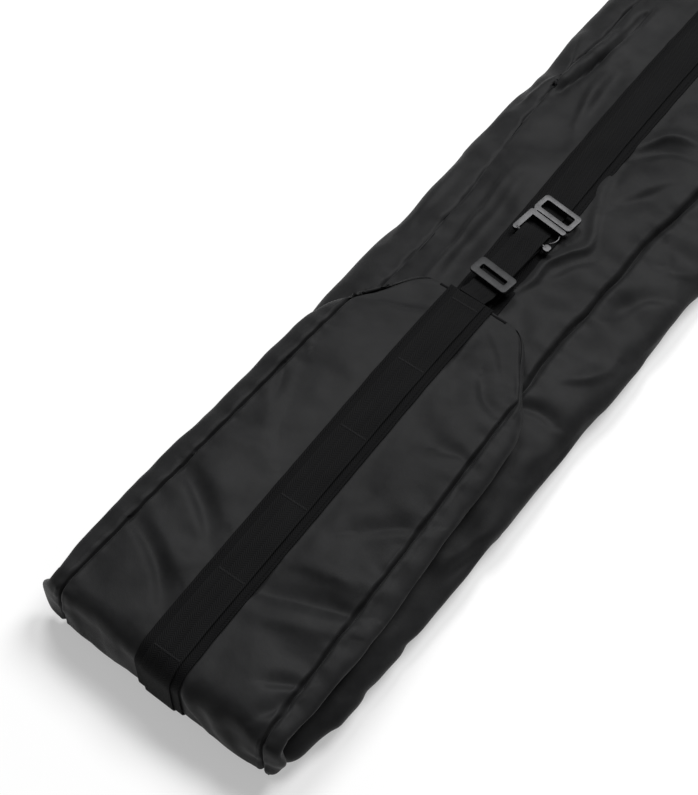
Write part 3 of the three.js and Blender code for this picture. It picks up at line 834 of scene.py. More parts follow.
def build_fold():
    """End wall, its pleats, and the flap's panel, gussets and corners."""
    skin, place, left, right = build_fold_skin()
    columns = {"left": (0, left), "panel": (left, right), "right": (right, skin.grid.shape[1] - 1)}
    for part, start, stop, bodies, ends in FOLD_PARTS:
        for column, word in (("left", "left_pleat"), ("panel", "end_panel"), ("right", "right_pleat")):
            rows = (row_at(place, start), row_at(place, stop))
            made = skin.cut(f"fold_{word}_{part}", rows, columns[column], SHELL)
            join(made, "shell_cloth", bodies, ends, f"fold_{word}")
    start, shoulder = (row_at(place, FLAP_ONLY + more) for more in (0, SHOULDER_Y - SKIRT))
    last = len(place) - 1
    panel = skin.cut("flap_outer_panel_cloth", (start, last), columns["panel"], SHELL)
    fit(panel, "shell_cloth", "flap", "flap_outer_panel")
    for side in ("left", "right"):
        for rows, word in (((start, shoulder), "gusset"), ((shoulder, last), "corner")):
            made = skin.cut(f"flap_{side}_{word}_cloth", rows, columns[side], SHELL)
            fit(made, "shell_cloth", "flap", f"flap_{side}_{word}")


# ---------------------------------------------------------------- the body

seam_left = through([0, 300, 500, 552, 594, 635, 709, 900, 1300, LENGTH],
                    [-104, -102, -101, -102, -102, -107, -113, -112, -106, -105])
seam_right = through([0, 300, 437, 500, 573, 650, 726, 1000, 1400, LENGTH],
                     [100, 90, 77, 75, 76, 77, 83, 92, 102, 105])


NOSE_LENGTH, NOSE_INSET = 16, 11  # towards the fold the body's outline shrinks over this length, by this
TAIL_LENGTH, TAIL_INSET = 9, 8.5


def body_section(y):
    """The body's outline at one station as (x, z): over the top, down the right side and round."""
    angle = np.linspace(math.pi / 2, -math.pi / 2, 60)
    rise = np.where(angle > 0, BODY_SHOULDER - BODY_BULGE, BODY_BULGE) * np.sin(angle)
    side = np.stack([PANEL_HALF + (HALF_WIDTH - PANEL_HALF) * np.cos(angle), BODY_BULGE + rise], axis=1)
    x = np.linspace(-PANEL_HALF, PANEL_HALF, 141)[1:-1]
    away = np.clip((np.abs(x) - 28) / (PANEL_HALF - 28), 0, 1)
    top = np.stack([x, BODY_TOP - (BODY_TOP - BODY_SHOULDER) * away ** 1.6], axis=1)
    under = np.stack([-x, (SHELL_DEPTH + 0.4) * under_band(x) + 0.1], axis=1)
    loop = np.concatenate([top, side, under, side[::-1] * [-1, 1]])
    nose = np.clip(1 - (y - BODY_START) / NOSE_LENGTH, 0, 1)
    tail = np.clip(1 - (LENGTH - 4 - y) / TAIL_LENGTH, 0, 1)
    inset = NOSE_INSET * (1 - np.sqrt(1 - nose ** 2)) + TAIL_INSET * (1 - np.sqrt(1 - tail ** 2))
    narrow = 1 - 0.062 * (1 - smooth(y, 20, 110)) - 0.012 * smooth(y, 1500, LENGTH)
    low = 1.2 * (1 - smooth(y, 30, 80))
    middle = np.array([0, BODY_BULGE])
    out = loop - middle
    size = np.abs(out) / [HALF_WIDTH, BODY_BULGE + 4]
    out = out - np.sign(out) * np.minimum(size, 1) ** 3 * inset
    loop = middle + out * [narrow, 1]
    loop[:, 1] = np.maximum(loop[:, 1], 0) + low * (loop[:, 1] < BODY_BULGE)
    return loop


BODY_PARTS = (  # panels round the body, with the number of grid columns across each
    ("body_top_panel", 34), ("body_right_gusset", 17), ("body_bottom_panel", 30), ("body_left_gusset", 17))


def body_columns(loop, run, y):
    """Distances round the outline: of the grid's columns, of the left seam and of the right seam."""
    upper = np.flatnonzero(loop[:-1, 1] > BODY_BULGE + 4)
    order = upper[np.argsort(loop[upper, 0])]
    places = np.where(run[order] > run[-1] * 0.75, run[order] - run[-1], run[order])
    left, right = (np.interp(seam(y), loop[order, 0], places) for seam in (seam_left, seam_right))
    knots = [left, right]
    for corner in (PANEL_HALF * 0.97, -PANEL_HALF * 0.97):
        knots.append(run[np.argmin(np.hypot(loop[:-1, 0] - corner, loop[:-1, 1]))])
    knots.append(left + run[-1])
    where = []
    for (_, count), a, b in zip(BODY_PARTS, knots, knots[1:]):
        share = np.array([0, 0.3, *range(1, count), count - 0.3]) / count
        where.append(a + (b - a) * share)
    return np.concatenate([*where, knots[-1:]]), left, right


def body_grid(step):
    """The body's skin, from the left seam over the top, down the right side and round, with each point's
    distances round the outline from the left and the right seam."""
    near = BODY_START + np.array([0, 1, 3, 6, 10, 15])
    far = LENGTH - np.array([17, 13, 10, 8, 6, 5, 4.2])
    rows, across = [], []
    for y in np.concatenate([near, np.arange(BODY_START + 20, LENGTH - 22, step), far]):
        loop = body_section(y)
        loop = np.concatenate([loop, loop[:1]])
        run = run_length(loop)
        where, left, right = body_columns(loop, run, y)
        turn = np.mod(where, run[-1])
        x, z = (np.interp(turn, run, loop[:, k]) for k in (0, 1))
        rows.append(np.column_stack([x, np.full(len(x), y), z]))
        across.append(np.stack([where - left, where - right], axis=1))
    return np.array(rows), np.array(across)


BODY_CREASES = [
    ("top", [(-94, 905), (-95, 884), (-95, 842), (-100, 803), (-106, 764)], -8.0, 3.6),
    ("top", [(-104, 900), (-105, 842), (-110, 800), (-114, 772)], 4.3, 6),
    ("top", [(-84, 930), (-86, 866), (-88, 824), (-92, 785)], 4.6, 6),
    ("top", [(-134, 845), (-121, 816), (-112, 786), (-122, 768), (-131, 740)], 3.5, 6),
    ("top", [(-80, 824), (-76, 775), (-66, 730)], 3.5, 6),
    ("top", [(-68, 830), (-64, 775), (-56, 730)], -3.0, 8),
    ("top", [(-82, 640), (-77, 593), (-74, 551), (-70, 480)], 4.3, 6),
    ("top", [(-68, 640), (-62, 590), (-60, 540), (-56, 490)], -3.2, 8),
    ("top", [(-130, 640), (-122, 590), (-124, 540)], -3.2, 8),
    ("top", [(9, 520), (15, 544), (14, 567), (23, 586), (34, 607), (20, 646)], 4.9, 5),
    ("top", [(24, 560), (32, 580), (46, 600)], -3.5, 7),
    ("top", [(20, 646), (8, 674), (2, 700)], 3.2, 6),
    ("top", [(4, 742), (22, 772), (50, 782)], 4.1, 6),
    ("top", [(8, 728), (28, 756), (58, 764)], -3.5, 7),
    ("top", [(60, 728), (44, 692), (30, 668)], -3.2, 8),
    ("top", [(84, 421), (104, 430), (122, 428)], -4.1, 6),
    ("top", [(98, 470), (116, 486), (130, 520)], 3.2, 7),
    ("top", [(96, 560), (112, 600), (126, 610)], -4.1, 8),
    ("top", [(94, 660), (112, 640), (130, 655)], 3.5, 8),
    ("top", [(30, 500), (50, 470), (66, 450)], -3.2, 9),
    ("top", [(98, 800), (112, 760), (130, 742)], -4.1, 8),
    ("top", [(26, 880), (50, 850), (78, 846)], -3.8, 9),
    ("top", [(20, 940), (52, 930), (84, 950)], 3.5, 9),
    ("top", [(-60, 1010), (-84, 1050), (-88, 1110)], -4.3, 8),
    ("top", [(-44, 1180), (-70, 1210), (-98, 1214)], -3.8, 8),
    ("top", [(24, 1090), (56, 1120), (88, 1116)], -4.1, 9),
    ("top", [(12, 1300), (48, 1280), (92, 1290)], 3.8, 8),
    ("top", [(-40, 1390), (-72, 1360), (-100, 1372)], -3.8, 9),
    ("top", [(22, 1480), (60, 1500), (96, 1490)], -3.8, 9),
    ("top", [(-34, 1560), (-64, 1590), (-100, 1580)], 3.8, 8),
    ("top", [(30, 1640), (60, 1610), (90, 1616)], -3.2, 8),
    ("right", [(220, 42), (256, 34), (300, 22)], -4.2, 8),
    ("right", [(236, 44), (276, 38), (322, 30)], 3.5, 8),
    ("right", [(140, 40), (168, 24), (184, 8)], -3.4, 8),
    ("right", [(90, 44), (112, 28), (120, 6)], -2.4, 8),
    ("right", [(60, 44), (74, 26), (80, 6)], 1.6, 7),
    ("right", [(360, 40), (400, 28), (470, 24)], -4.1, 8),
    ("right", [(520, 38), (570, 22), (640, 18)], -4.3, 8),
    ("right", [(700, 34), (760, 22), (840, 26)], -4.1, 9),
    ("right", [(900, 30), (960, 16), (1010, 20)], -4.1, 8),
    ("left", [(120, 40), (160, 24), (220, 18)], -4.3, 8),
    ("left", [(280, 38), (340, 26), (420, 22)], -4.3, 9),
    ("left", [(500, 34), (560, 20), (640, 24)], -4.3, 9),
    ("left", [(720, 38), (760, 26), (840, 16)], -4.6, 8),
    ("left", [(930, 32), (1010, 20), (1080, 26)], -4.1, 8),
]


# centre line of the band along the top of the body
body_band_x = through([30, 480, 860, 1300, LENGTH], [1, -13.5, -25, -15, 0])


def body_pins(skin, across):
    """How firmly the body's cloth is held: underneath, under the band, at the ends and at the seams."""
    grid = skin.grid
    under = smooth(-skin.normals[..., 2], 0.3, 0.8) * (grid[..., 2] < BODY_BULGE)
    away = np.abs(grid[..., 0] - body_band_x(grid[..., 1]))
    near_band = (1 - smooth(away, BAND_HALF + 1, BAND_HALF + 14)) * (grid[..., 2] > BODY_BULGE)
    ends = np.maximum(1 - smooth(grid[..., 1], 38, 66), smooth(grid[..., 1], LENGTH - 40, LENGTH - 16))
    off_left = np.minimum(np.abs(across[..., 0]), np.abs(across[..., 0] - across[:, -1:, 0]))
    seams = 0.5 * np.exp(-((np.minimum(off_left, np.abs(across[..., 1])) / 4) ** 2))
    return np.clip(np.maximum.reduce([under, near_band, ends, seams]), 0, 1)


def build_body_skin():
    grid, across = body_grid(BODY_STEP)
    skin = Skin(grid, closed=True)
    pins = body_pins(skin, across)
    skin.push(ripple(grid, 45, 1.7) * 0.9 * (1 - pins))
    settle(skin, pins, 0.022, 0.35, 6.5)
    off_left, off_right = np.moveaxis(across, 2, 0)
    total = np.broadcast_to(off_left[:, -1:] - off_left[:, :1], off_left.shape)
    edges = np.cumsum([0] + [2 * (count + 2) for _, count in BODY_PARTS])
    (off_left, off_right, total), edges = skin.add_detail([off_left, off_right, total], edges)
    fold_all(skin, BODY_CREASES)
    off_left = np.where(off_left > total / 2, off_left - total, off_left)
    inner = smooth(skin.grid[..., 1], 34, 66) * (1 - smooth(skin.grid[..., 1], LENGTH - 30, LENGTH - 12))
    for off, valley, cut, seed in ((off_left, (1.0, 6), (1.8, 1.0), 2.2),
                                   (off_right, (3.4, 4.8), (4.2, 1.4), 4.4)):
        skin.push(seam_work(skin, off, skin.grid[..., 1], valley, cut, seed) * inner)
    free = 1 - smooth(-skin.normals[..., 2], 0.3, 0.8)
    clear = smooth(np.abs(skin.grid[..., 0] - body_band_x(skin.grid[..., 1])), 26, 40)
    skin.push(ripple(skin.grid, 60, 7.7) * 1.6 * free * clear * inner)
    skin.push(ripple(skin.grid, 20, 6.1) * 0.45 * free * clear * inner)
    skin.grid[..., 2] = np.maximum(skin.grid[..., 2], 0.05)
    return skin, edges


def build_body():
    skin, edges = build_body_skin()
    for (name, _), first, end in zip(BODY_PARTS, edges, edges[1:]):
        made = skin.cut(name + "_cloth", (0, len(skin.grid) - 1), (first, end), SHELL)
        fit(made, "shell_cloth", "body", name)
    build_tail_panel(skin.grid[-1])


def build_tail_panel(ring):
    """The closed end: a slightly crowned panel inside the last ring of the body's skin."""
    middle = ring[:-1].mean(0)
    shares = np.linspace(1.0, 0.04, 16)
    rows = []
    for share in shares:
        row = middle + (ring - middle) * share
        row[:, 1] = ring[:, 1] + 1.6 * (1 - share ** 2) + 0.5 * np.sin(share * 40) * share * (1 - share)
        rows.append(row)
    skin = Skin(np.array(rows), closed=True)
    skin.push(ripple(skin.grid, 18, 8.8) * 0.5 * (1 - shares[:, None]))
    fit(skin.whole("tail_end_panel_cloth", SHELL), "shell_cloth", "body", "tail_end_panel")


# ---------------------------------------------------------------- webbing

def webbing_section(half, thickness):
    """Points round a flat section with soft edges: across it, and up from its middle."""
    soft = 0.45 * thickness
    flat = np.linspace(-half + soft, half - soft, 13)
    arc = np.linspace(0, math.pi, 7)[1:-1]
    edge = half - soft + soft * np.sin(arc)
    across = np.concatenate([flat, edge, flat[::-1], -edge, flat[:1]])
    up = np.concatenate([np.ones(13), np.cos(arc), -np.ones(13), -np.cos(arc), [1]]) * thickness / 2
    return across, up


def ribbon(name, centre, out, half, lift, material, wave=0.3, seed=0.0, thickness=WEBBING, rows=slice(None)):
    """Flat webbing along a line of points: lift is its underside's height over the line along out. Only
    the given rows of it are made, so pieces cut from one line meet without a step."""
    side = unit(np.cross(unit(np.gradient(centre, axis=0)), out))
    run = run_length(centre)
    across, up = webbing_section(half, thickness)
    edge = (np.abs(across) / half) ** 3
    sway = np.array([[noise.noise(Vector((s / 21, seed, 0)))] for s in run])
    lumps = np.array([[noise.noise(Vector((s / 13, np.sign(a) * 3 + seed, 5))) for a in across] for s in run])
    wide = across + sway * wave * edge * np.sign(across)
    high = np.broadcast_to(lift, run.shape)[:, None] + thickness / 2 + up + wave * lumps * edge
    grid = centre[:, None] + side[:, None] * wide[..., None] + out[:, None] * high[..., None]
    normals = grid_normals(grid, closed=True)
    ring = run_length(np.column_stack([across, up]))
    return tube_mesh(name, grid[rows], normals[rows], ring, run[rows], material)


def tube_faces(rows, count):
    """Faces of a tube of rings of count points each, with flat ends."""
    row = (np.arange(rows - 1) * count)[:, None]
    column = np.arange(count)
    after = (column + 1) % count
    sides = np.stack([row + column, row + after, row + count + after, row + count + column], axis=2)
    return [*sides.reshape(-1, 4).tolist(), column[::-1].tolist(), (column + (rows - 1) * count).tolist()]


def tube_mesh(name, grid, normals, ring, run, material):
    """A closed mesh from rings of points, each ring's last point being its first again, with flat ends."""
    rows, count = len(grid), grid.shape[1] - 1
    r, c = np.meshgrid(np.arange(rows - 1), np.arange(count), indexing="ij")
    corner_rows = np.stack([r, r, r + 1, r + 1], axis=2).ravel()
    corner_columns = np.stack([c, c + 1, c + 1, c], axis=2).ravel()
    uv = [np.column_stack([ring[corner_columns], run[corner_rows]])]
    corner_normals = [normals[corner_rows, corner_columns]]
    for end, beside, order in ((0, 1, np.arange(count)[::-1]), (-1, -2, np.arange(count))):
        uv.append(np.column_stack([ring[order], np.full(count, run[end])]))
        corner_normals.append(np.tile(unit((grid[end] - grid[beside]).mean(0)), (count, 1)))
    return smooth_mesh(name, grid[:, :-1].reshape(-1, 3), tube_faces(rows, count),
                       np.concatenate(uv), np.concatenate(corner_normals), material)


def fold_centre(step):
    """The band's centre line over the fold and the flap, its outward direction, and its place."""
    line, place = fold_path(step)
    turn = (FLAP_TURN + FLAP_BAND_TURN) * smooth(place, SKIRT + 70, SKIRT + 120)
    return *side_line(BAND_START_X - np.sin(turn) * line[:, 0], line), place


TACK_FIRST, TACK_SPACING, TACK_COUNT = 19, 89.4, 6


def flap_strip_lift(y):
    """The strip stands a little higher between its tacks."""
    share = (y - TACK_FIRST) / TACK_SPACING
    return 0.9 * np.abs(np.sin(np.pi * share)) * smooth(y, 12, 40) * (1 - smooth(y, 440, 470))


def build_fold_webbing():
    """Base band and strip over the fold and the flap. The strip runs on as the closure strap."""
    centre, out, place = fold_centre(3)
    line_y = centre[:, 1]
    strip_lift = flap_strip_lift(line_y) * (place > SKIRT + 60)
    for kind, half, lift, end_y, wave, material in (
            ("base_band", BAND_HALF, GAP - SHELL_DEPTH, TIP_Y + 2, 0.35, BAND),
            ("strip", STRIP_HALF, strip_lift - WEBBING, STRAP_START, 0.2, STRIP)):
        flap_part = ("flap", FLAP_ONLY, place[line_y <= end_y][-1], None, None)
        for part, start, stop, bodies, ends in (*FOLD_PARTS, flap_part):
            rows = slice(row_at(place, start), row_at(place, stop) + 1)
            node = f"fold_{kind}" if bodies else f"flap_{kind}"
            made = ribbon(f"{node}_{part}", centre, out, half, lift, material, wave, half, rows=rows)
            if bodies:
                join(made, "webbing", bodies, ends, node)
            else:
                fit(made, "webbing", "flap", node)


def body_band_path(step):
    """Down the tail's end and back under the body, as (y, z), from the fold end of the top."""
    top = BODY_TOP + GAP
    end = LENGTH - 2 * WEBBING
    return rounded([(32, top), (end, top), (end, SHELL_DEPTH), (SKIRT, SHELL_DEPTH)], [9, 9], step)


def build_body_webbing():
    """Base band and strip along the body, round the tail's end and back underneath."""
    line, place = body_band_path(4)
    x = body_band_x(line[:, 0]) * np.clip(1 - (place - (LENGTH - 30)) / 300, 0, 1)
    centre, out = side_line(x, line)
    band = ribbon("body_base_band", centre, out, BAND_HALF, 0.0, BAND, 0.55, 2.0)
    fit(band, "webbing", "body", "top_base_band", "tail_base_band", "bottom_base_band")
    loops = np.interp(line[:, 0], [480, 960, 1200, 1440, 1670], np.arange(5))
    rise = 0.8 * np.abs(np.sin(np.pi * loops)) * (place < LENGTH - 30) + 0.3
    strip = ribbon("body_strip", centre, out, STRIP_HALF, WEBBING + rise, STRIP, 0.3, 7.0)
    fit(strip, "webbing", "body", "top_strip", "bottom_strip")


# ---------------------------------------------------------------- stitches

def threads(name, segments, radius, material):
    """Many short round threads in one mesh, each from a start to an end and thinner at both."""
    sides, rings = 6, 5
    share = np.linspace(0, 1, rings)[:, None, None]
    swell = radius * (0.35 + 0.65 * np.sin(math.pi * (0.12 + 0.76 * share)))
    turn = 2 * math.pi * np.arange(sides)[:, None] / sides
    tube = tube_faces(rings, sides)
    points, faces = [], []
    for start, end in segments:
        along = unit(end - start)
        up = (0, 0, 1) if abs(along[2]) < 0.9 else (0, 1, 0)
        side = unit(np.cross(along, up))
        around = np.cos(turn) * side + np.sin(turn) * np.cross(side, along)
        faces += [[len(points) * rings * sides + i for i in face] for face in tube]
        points.append(start + (end - start) * share + swell * around)
    mesh = bpy.data.meshes.new(name)
    mesh.from_pydata(in_frame(points).reshape(-1, 3).tolist(), [], faces)
    mesh.polygons.foreach_set("use_smooth", [True] * len(faces))
    return new_object(name, mesh, material)


TACK_WIDTH, TACK_STITCHES, TACK_SWING = 28.0, 34, 1.05


def bartack(node, body, centre, along, out):
    """A bar of close zigzag stitches across the strip."""
    centre, along, out = (np.array(v, float) for v in (centre, along, out))
    side = np.cross(along, out)
    xs = np.linspace(-TACK_WIDTH / 2, TACK_WIDTH / 2, TACK_STITCHES + 1)
    segments = []
    for i in range(TACK_STITCHES):
        swing = TACK_SWING if i % 2 else -TACK_SWING
        wobble = 0.15 * math.sin(i * 2.3)
        start = centre + side * xs[i] + along * (swing + wobble) + out * 0.12
        end = centre + side * xs[i + 1] - along * (swing - wobble) + out * 0.12
        segments.append((start, end))
    fit(threads(node + "_thread", segments, 0.38, TACK_THREAD), "thread", body, node)


def build_bartacks():
    """The flap's tacks and the body's, which fasten the strip at even steps and leave loops between."""
    centre, out, place = fold_centre(1)
    on_top = np.flatnonzero(place > SKIRT + 70)
    for i in range(TACK_COUNT):
        k = on_top[np.argmin(np.abs(centre[on_top, 1] - (TACK_FIRST + TACK_SPACING * i)))]
        bartack(f"flap_bartack_{i + 1}", "flap", centre[k], unit(centre[k + 1] - centre[k - 1]), out[k])
    for i in range(4):
        node = f"body_bartack_{i + 1}"
        low, high = cad_box(node)
        middle = (low + high) / 2
        top = BODY_TOP + GAP + 2 * WEBBING + 0.3
        bartack(node, "body", (middle.x, middle.y, top), (0, 1, 0), (0, 0, 1))


STITCH_PITCH, STITCH_LENGTH, STITCH_INSET = 4.2, 3.0, 3


def edge_stitches(name, body, centre, out, lift):
    """Lock stitches along both edges of the base band."""
    line, _ = evenly(np.hstack([centre, out]), STITCH_PITCH)
    centre, out = line[:, :3], unit(line[:, 3:])
    along = unit(np.gradient(centre, axis=0))
    side = np.cross(along, out)
    segments = []
    for sign in (-1, 1):
        middle = centre + side * (BAND_HALF - STITCH_INSET) * sign + out * lift
        segments += zip(middle - along * STITCH_LENGTH / 2, middle + along * STITCH_LENGTH / 2)
    made = threads(name, segments, 0.3, THREAD)
    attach(made, body)


def build_stitches():
    centre, out, place = fold_centre(2)
    rows = (place >= FLAP_ONLY) & (centre[:, 1] < TIP_Y - 3)
    edge_stitches("flap_band_stitches", "flap", centre[rows], out[rows], -WEBBING - GAP - 0.05)
    line, _ = body_band_path(4)
    rows = (line[:, 1] > BODY_TOP) & (line[:, 0] < LENGTH - 20) & (line[:, 0] > 30)
    ys = line[rows, 0]
    path = np.column_stack([body_band_x(ys), ys, np.full(len(ys), BODY_TOP + GAP)])
    edge_stitches("body_band_stitches", "body", path, np.tile([0.0, 0.0, 1.0], (len(ys), 1)), WEBBING - 0.05)


# ---------------------------------------------------------------- inside the fold and the flap

def build_flap_inner():
    """The flap's inner panel, from inside the fold to the mouth, and the two hems round the mouth."""
    ys = np.linspace(30, TIP_Y, 110)[:, None]
    shares = np.linspace(1, -1, 61)
    x = np.minimum(flap_seam(ys) + 1, flap_half(ys) - 3) * shares
    x, y = turned(x, np.broadcast_to(ys, x.shape), FLAP_TURN)
    skin = Skin(np.stack([x, y, np.full(x.shape, FLAP_UNDER + 0.2)], axis=2))
    free = (1 - shares ** 6) * smooth(ys, 30, 60) * (1 - smooth(ys, 450, TIP_Y))
    skin.push((ripple(skin.grid, 48, 4.2) * 2.0 - 1.2) * free)
    fit(skin.whole("flap_inner_panel_cloth", SHELL), "shell_cloth", "flap", "flap_inner_panel")
    for node in ("mouth_upper_hem", "mouth_lower_hem"):
        low, high = cad_box(node)
        xs = np.linspace(low.x + 12, high.x - 12, 30)
        ys = low.y - 4 + (xs - low.x) * math.tan(FLAP_TURN)
        tape(node, "flap", np.column_stack([xs, ys, np.full(30, low.z)]), 1.6, high.z - low.z, BAND, 0.1)


def tape(node, body, centre, half, thickness, material, wave=0.3, seed=0.0):
    """A level tape in place of a CAD node."""
    up = np.tile([0, 0, 1.0], (len(centre), 1))
    made = ribbon(node + "_tape", centre, up, half, 0.0, material, wave, seed, thickness)
    fit(made, "webbing" if material == BAND else "lining_cloth", body, node)


def build_inner_crease():
    """The inner layer where it gathers in the fold, in two halves: a lower one by the wall and an upper one
    by the flap.
    """
    nose = (10.5, (BODY_TOP + FLAP_UNDER) / 2 - 0.3)
    low = (34, BODY_TOP - 4.2)
    high = (34, FLAP_UNDER + 1.6)
    xs = np.linspace(-100, 100, 81)
    gather = 0.4 * np.sin(xs / 6.5) + 0.3 * np.sin(xs / 3.1 + 1)
    for part, start, end, turn, radius, spread, bodies in (
            ("lower", low, nose, low[1], 2.2, 0.12, ("body", "fold")),
            ("upper", nose, high, high[1], 1.6, 0.0, ("fold", "flap"))):
        line, _ = evenly(rounded([start, (12, turn), end], [radius], 2.0)[0], 2.0)
        reach = 1.04 + spread * smooth(line[:, 0], 12, 34)
        grid = np.array([np.column_stack([xs * r, y + gather * 0.6, np.full(81, z)])
                         for r, (y, z) in zip(reach, line)])
        made = Skin(grid).whole(f"fold_inner_crease_{part}", LINING, 0.6)
        join(made, "lining_cloth", bodies, ((0, *start), (0, *end)), "fold_inner_crease")


def build_bindings():
    """Binding tape over the raw seam edges inside the body."""
    for side, word in ((-1, "left"), (1, "right")):
        for level, height in (("upper", 33.0), ("lower", 6.0)):
            node = f"{word}_{level}_seam_binding"
            low, high = cad_box(node)
            ys = np.linspace(max(low.y, 42), high.y - 6, 160)
            centre = np.column_stack([side * 92 + 1.2 * np.sin(ys / 37), ys, height + 0.6 * np.sin(ys / 23)])
            tape(node, "body", centre, 6, 1.0, LINING, seed=side)


def build_tail_pad():
    """The foam pad that ski tails rest on, inside the closed end, with stitched channels."""
    low, high = cad_box("tail_pad")
    x, z = np.meshgrid(np.linspace(low.x + 4, high.x - 4, 50), np.linspace(low.z + 3, high.z - 6, 16))
    u = (x - x.mean()) / (np.ptp(x) / 2)
    w = (z - z.mean()) / (np.ptp(z) / 2)
    crown = (1 - np.abs(u) ** 6) * (1 - np.abs(w) ** 4)
    skin = Skin(np.stack([x, low.y + 3.5 - 2.6 * crown ** 0.5, z], axis=2))
    skin.grid[..., 1] += 0.8 * np.cos(u * 5 * math.pi) ** 20
    skin.normals = np.broadcast_to(np.array([0, -1.0, 0]), skin.grid.shape)
    made = skin.whole("tail_pad_foam", FOAM, 6.0)
    fit(made, "foam_pad", "body", "tail_pad")


# ---------------------------------------------------------------- the closure strap and its metal

def joint(name):
    return next(j for j in frame["joints"] if j["name"] == name)


def joint_place(name):
    """Where a joint's axis is, in bag millimetres."""
    return (np.array(joint(name)["pos_m"]) - [0, CAD_LOW.y, 0]) / MM


def closure_line():
    """The closure strap's start, its reach to the hook's bar, and its slope."""
    start = joint_place("closure_lift")
    run = joint_place("hook_swing") - start
    return start, np.linalg.norm(run), math.atan2(run[2], run[1])


def build_closure():
    """The closure strap: out to the hook's bar, round it and back."""
    start, reach, slope = closure_line()
    low, high = cad_box("closure_strap")
    bar = 2.2 + WEBBING / 2 + 0.4  # the strap's middle runs round the bar at this radius
    layer = 1.05  # and along the strap this far above and below its axis
    turns = np.linspace(-math.pi / 2, math.pi / 2, 15)
    nose = [(reach + 6 + 6.3 * math.cos(a), bar * math.sin(a)) for a in turns]
    begin = STRAP_START - start[1]
    top = STRIP_TOP - TIP_DROP - WEBBING / 2 - start[2]
    droop = [(begin + t * (12 - begin), top - (top + layer) * smooth(t)) for t in np.linspace(0, 1, 14)]
    line, _ = evenly([*droop, (reach - 24, -layer), (reach - 6, -bar), *nose,
                      (reach - 6, bar), (reach - 24, layer), (26, layer)], 2.0)
    c, s = math.cos(slope), math.sin(slope)
    y = start[1] + line[:, 0] * c - line[:, 1] * s
    z = start[2] + line[:, 0] * s + line[:, 1] * c
    centre, out = side_line(start[0], np.column_stack([y, z]))
    made = ribbon("closure_strap_webbing", centre, -out, (high.x - low.x) / 2, -WEBBING / 2, STRIP, 0.12, 3.0)
    ends = ((start[0], STRAP_START, start[2]), (start[0], start[1] + 16, start[2]))
    join(made, "webbing", ("flap", "closure"), ends, "closure_strap")


def metal_object(name, shape, mesh, material):
    """An object from an edited shape, smooth but for its sharp edges."""
    shape.to_mesh(mesh)
    shape.free()
    mesh.polygons.foreach_set("use_smooth", [True] * len(mesh.polygons))
    mesh.set_sharp_from_angle(angle=math.radians(40))
    return new_object(name, mesh, material)


def cast_copy(node, name, material, bevel):
    """A CAD metal piece with its flat faces made whole and its edges rounded, as a casting's are."""
    mesh = NODES[node].data.copy()
    mesh.materials.clear()
    shape = bmesh.new()
    shape.from_mesh(mesh)
    bmesh.ops.remove_doubles(shape, verts=shape.verts, dist=1e-6)
    bmesh.ops.dissolve_limit(shape, angle_limit=math.radians(2), verts=shape.verts, edges=shape.edges)
    sharp = [e for e in shape.edges if e.is_manifold and e.calc_face_angle(0) > math.radians(28)]
    bmesh.ops.bevel(shape, geom=sharp, offset=bevel * MM, segments=4, profile=0.5, affect="EDGES",
                    clamp_overlap=True)
    bmesh.ops.triangulate(shape, faces=[f for f in shape.faces if len(f.verts) > 4])
    return metal_object(name, shape, mesh, material)


SLIDER_ALONG = 29.5  # from the strap's start to the slider's middle


def rounded_outline(half_x, half_y, radius):
    """A rounded rectangle as points, counter-clockwise, with as many on every corner."""
    turns = np.concatenate([np.linspace(a, a + math.pi / 2, 9) for a in np.arange(4) * math.pi / 2])
    corners = np.array([(1, 1), (-1, 1), (-1, -1), (1, -1)]) * [half_x - radius, half_y - radius]
    return np.repeat(corners, 9, axis=0) + radius * np.stack([np.cos(turns), np.sin(turns)], axis=1)


def ring_plate(shape, outer, inner, low, high, soft):
    """A flat ring between two outlines, with its edges rounded by soft."""
    middle = (outer + inner) / 2
    turns = np.linspace(0, math.pi / 2, 5)
    loops = []
    for edge, sides in ((outer, 1), (inner, -1)):
        inward = (middle - edge) / np.linalg.norm(middle - edge, axis=1, keepdims=True)
        upper = [(soft * (1 - math.sin(t)), high - soft * (1 - math.cos(t))) for t in turns]
        lower = [(soft * (1 - math.cos(t)), low + soft * (1 - math.sin(t))) for t in turns]
        section = (upper + lower)[::sides]
        loops += [np.column_stack([edge + inward * off, np.full(len(edge), z)]) for off, z in section]
    verts = [[shape.verts.new(point) for point in loop] for loop in loops]
    count = len(outer)
    for a, b in zip(verts, verts[1:] + verts[:1]):
        for i in range(count):
            j = (i + 1) % count
            shape.faces.new((a[i], a[j], b[j], b[i]))


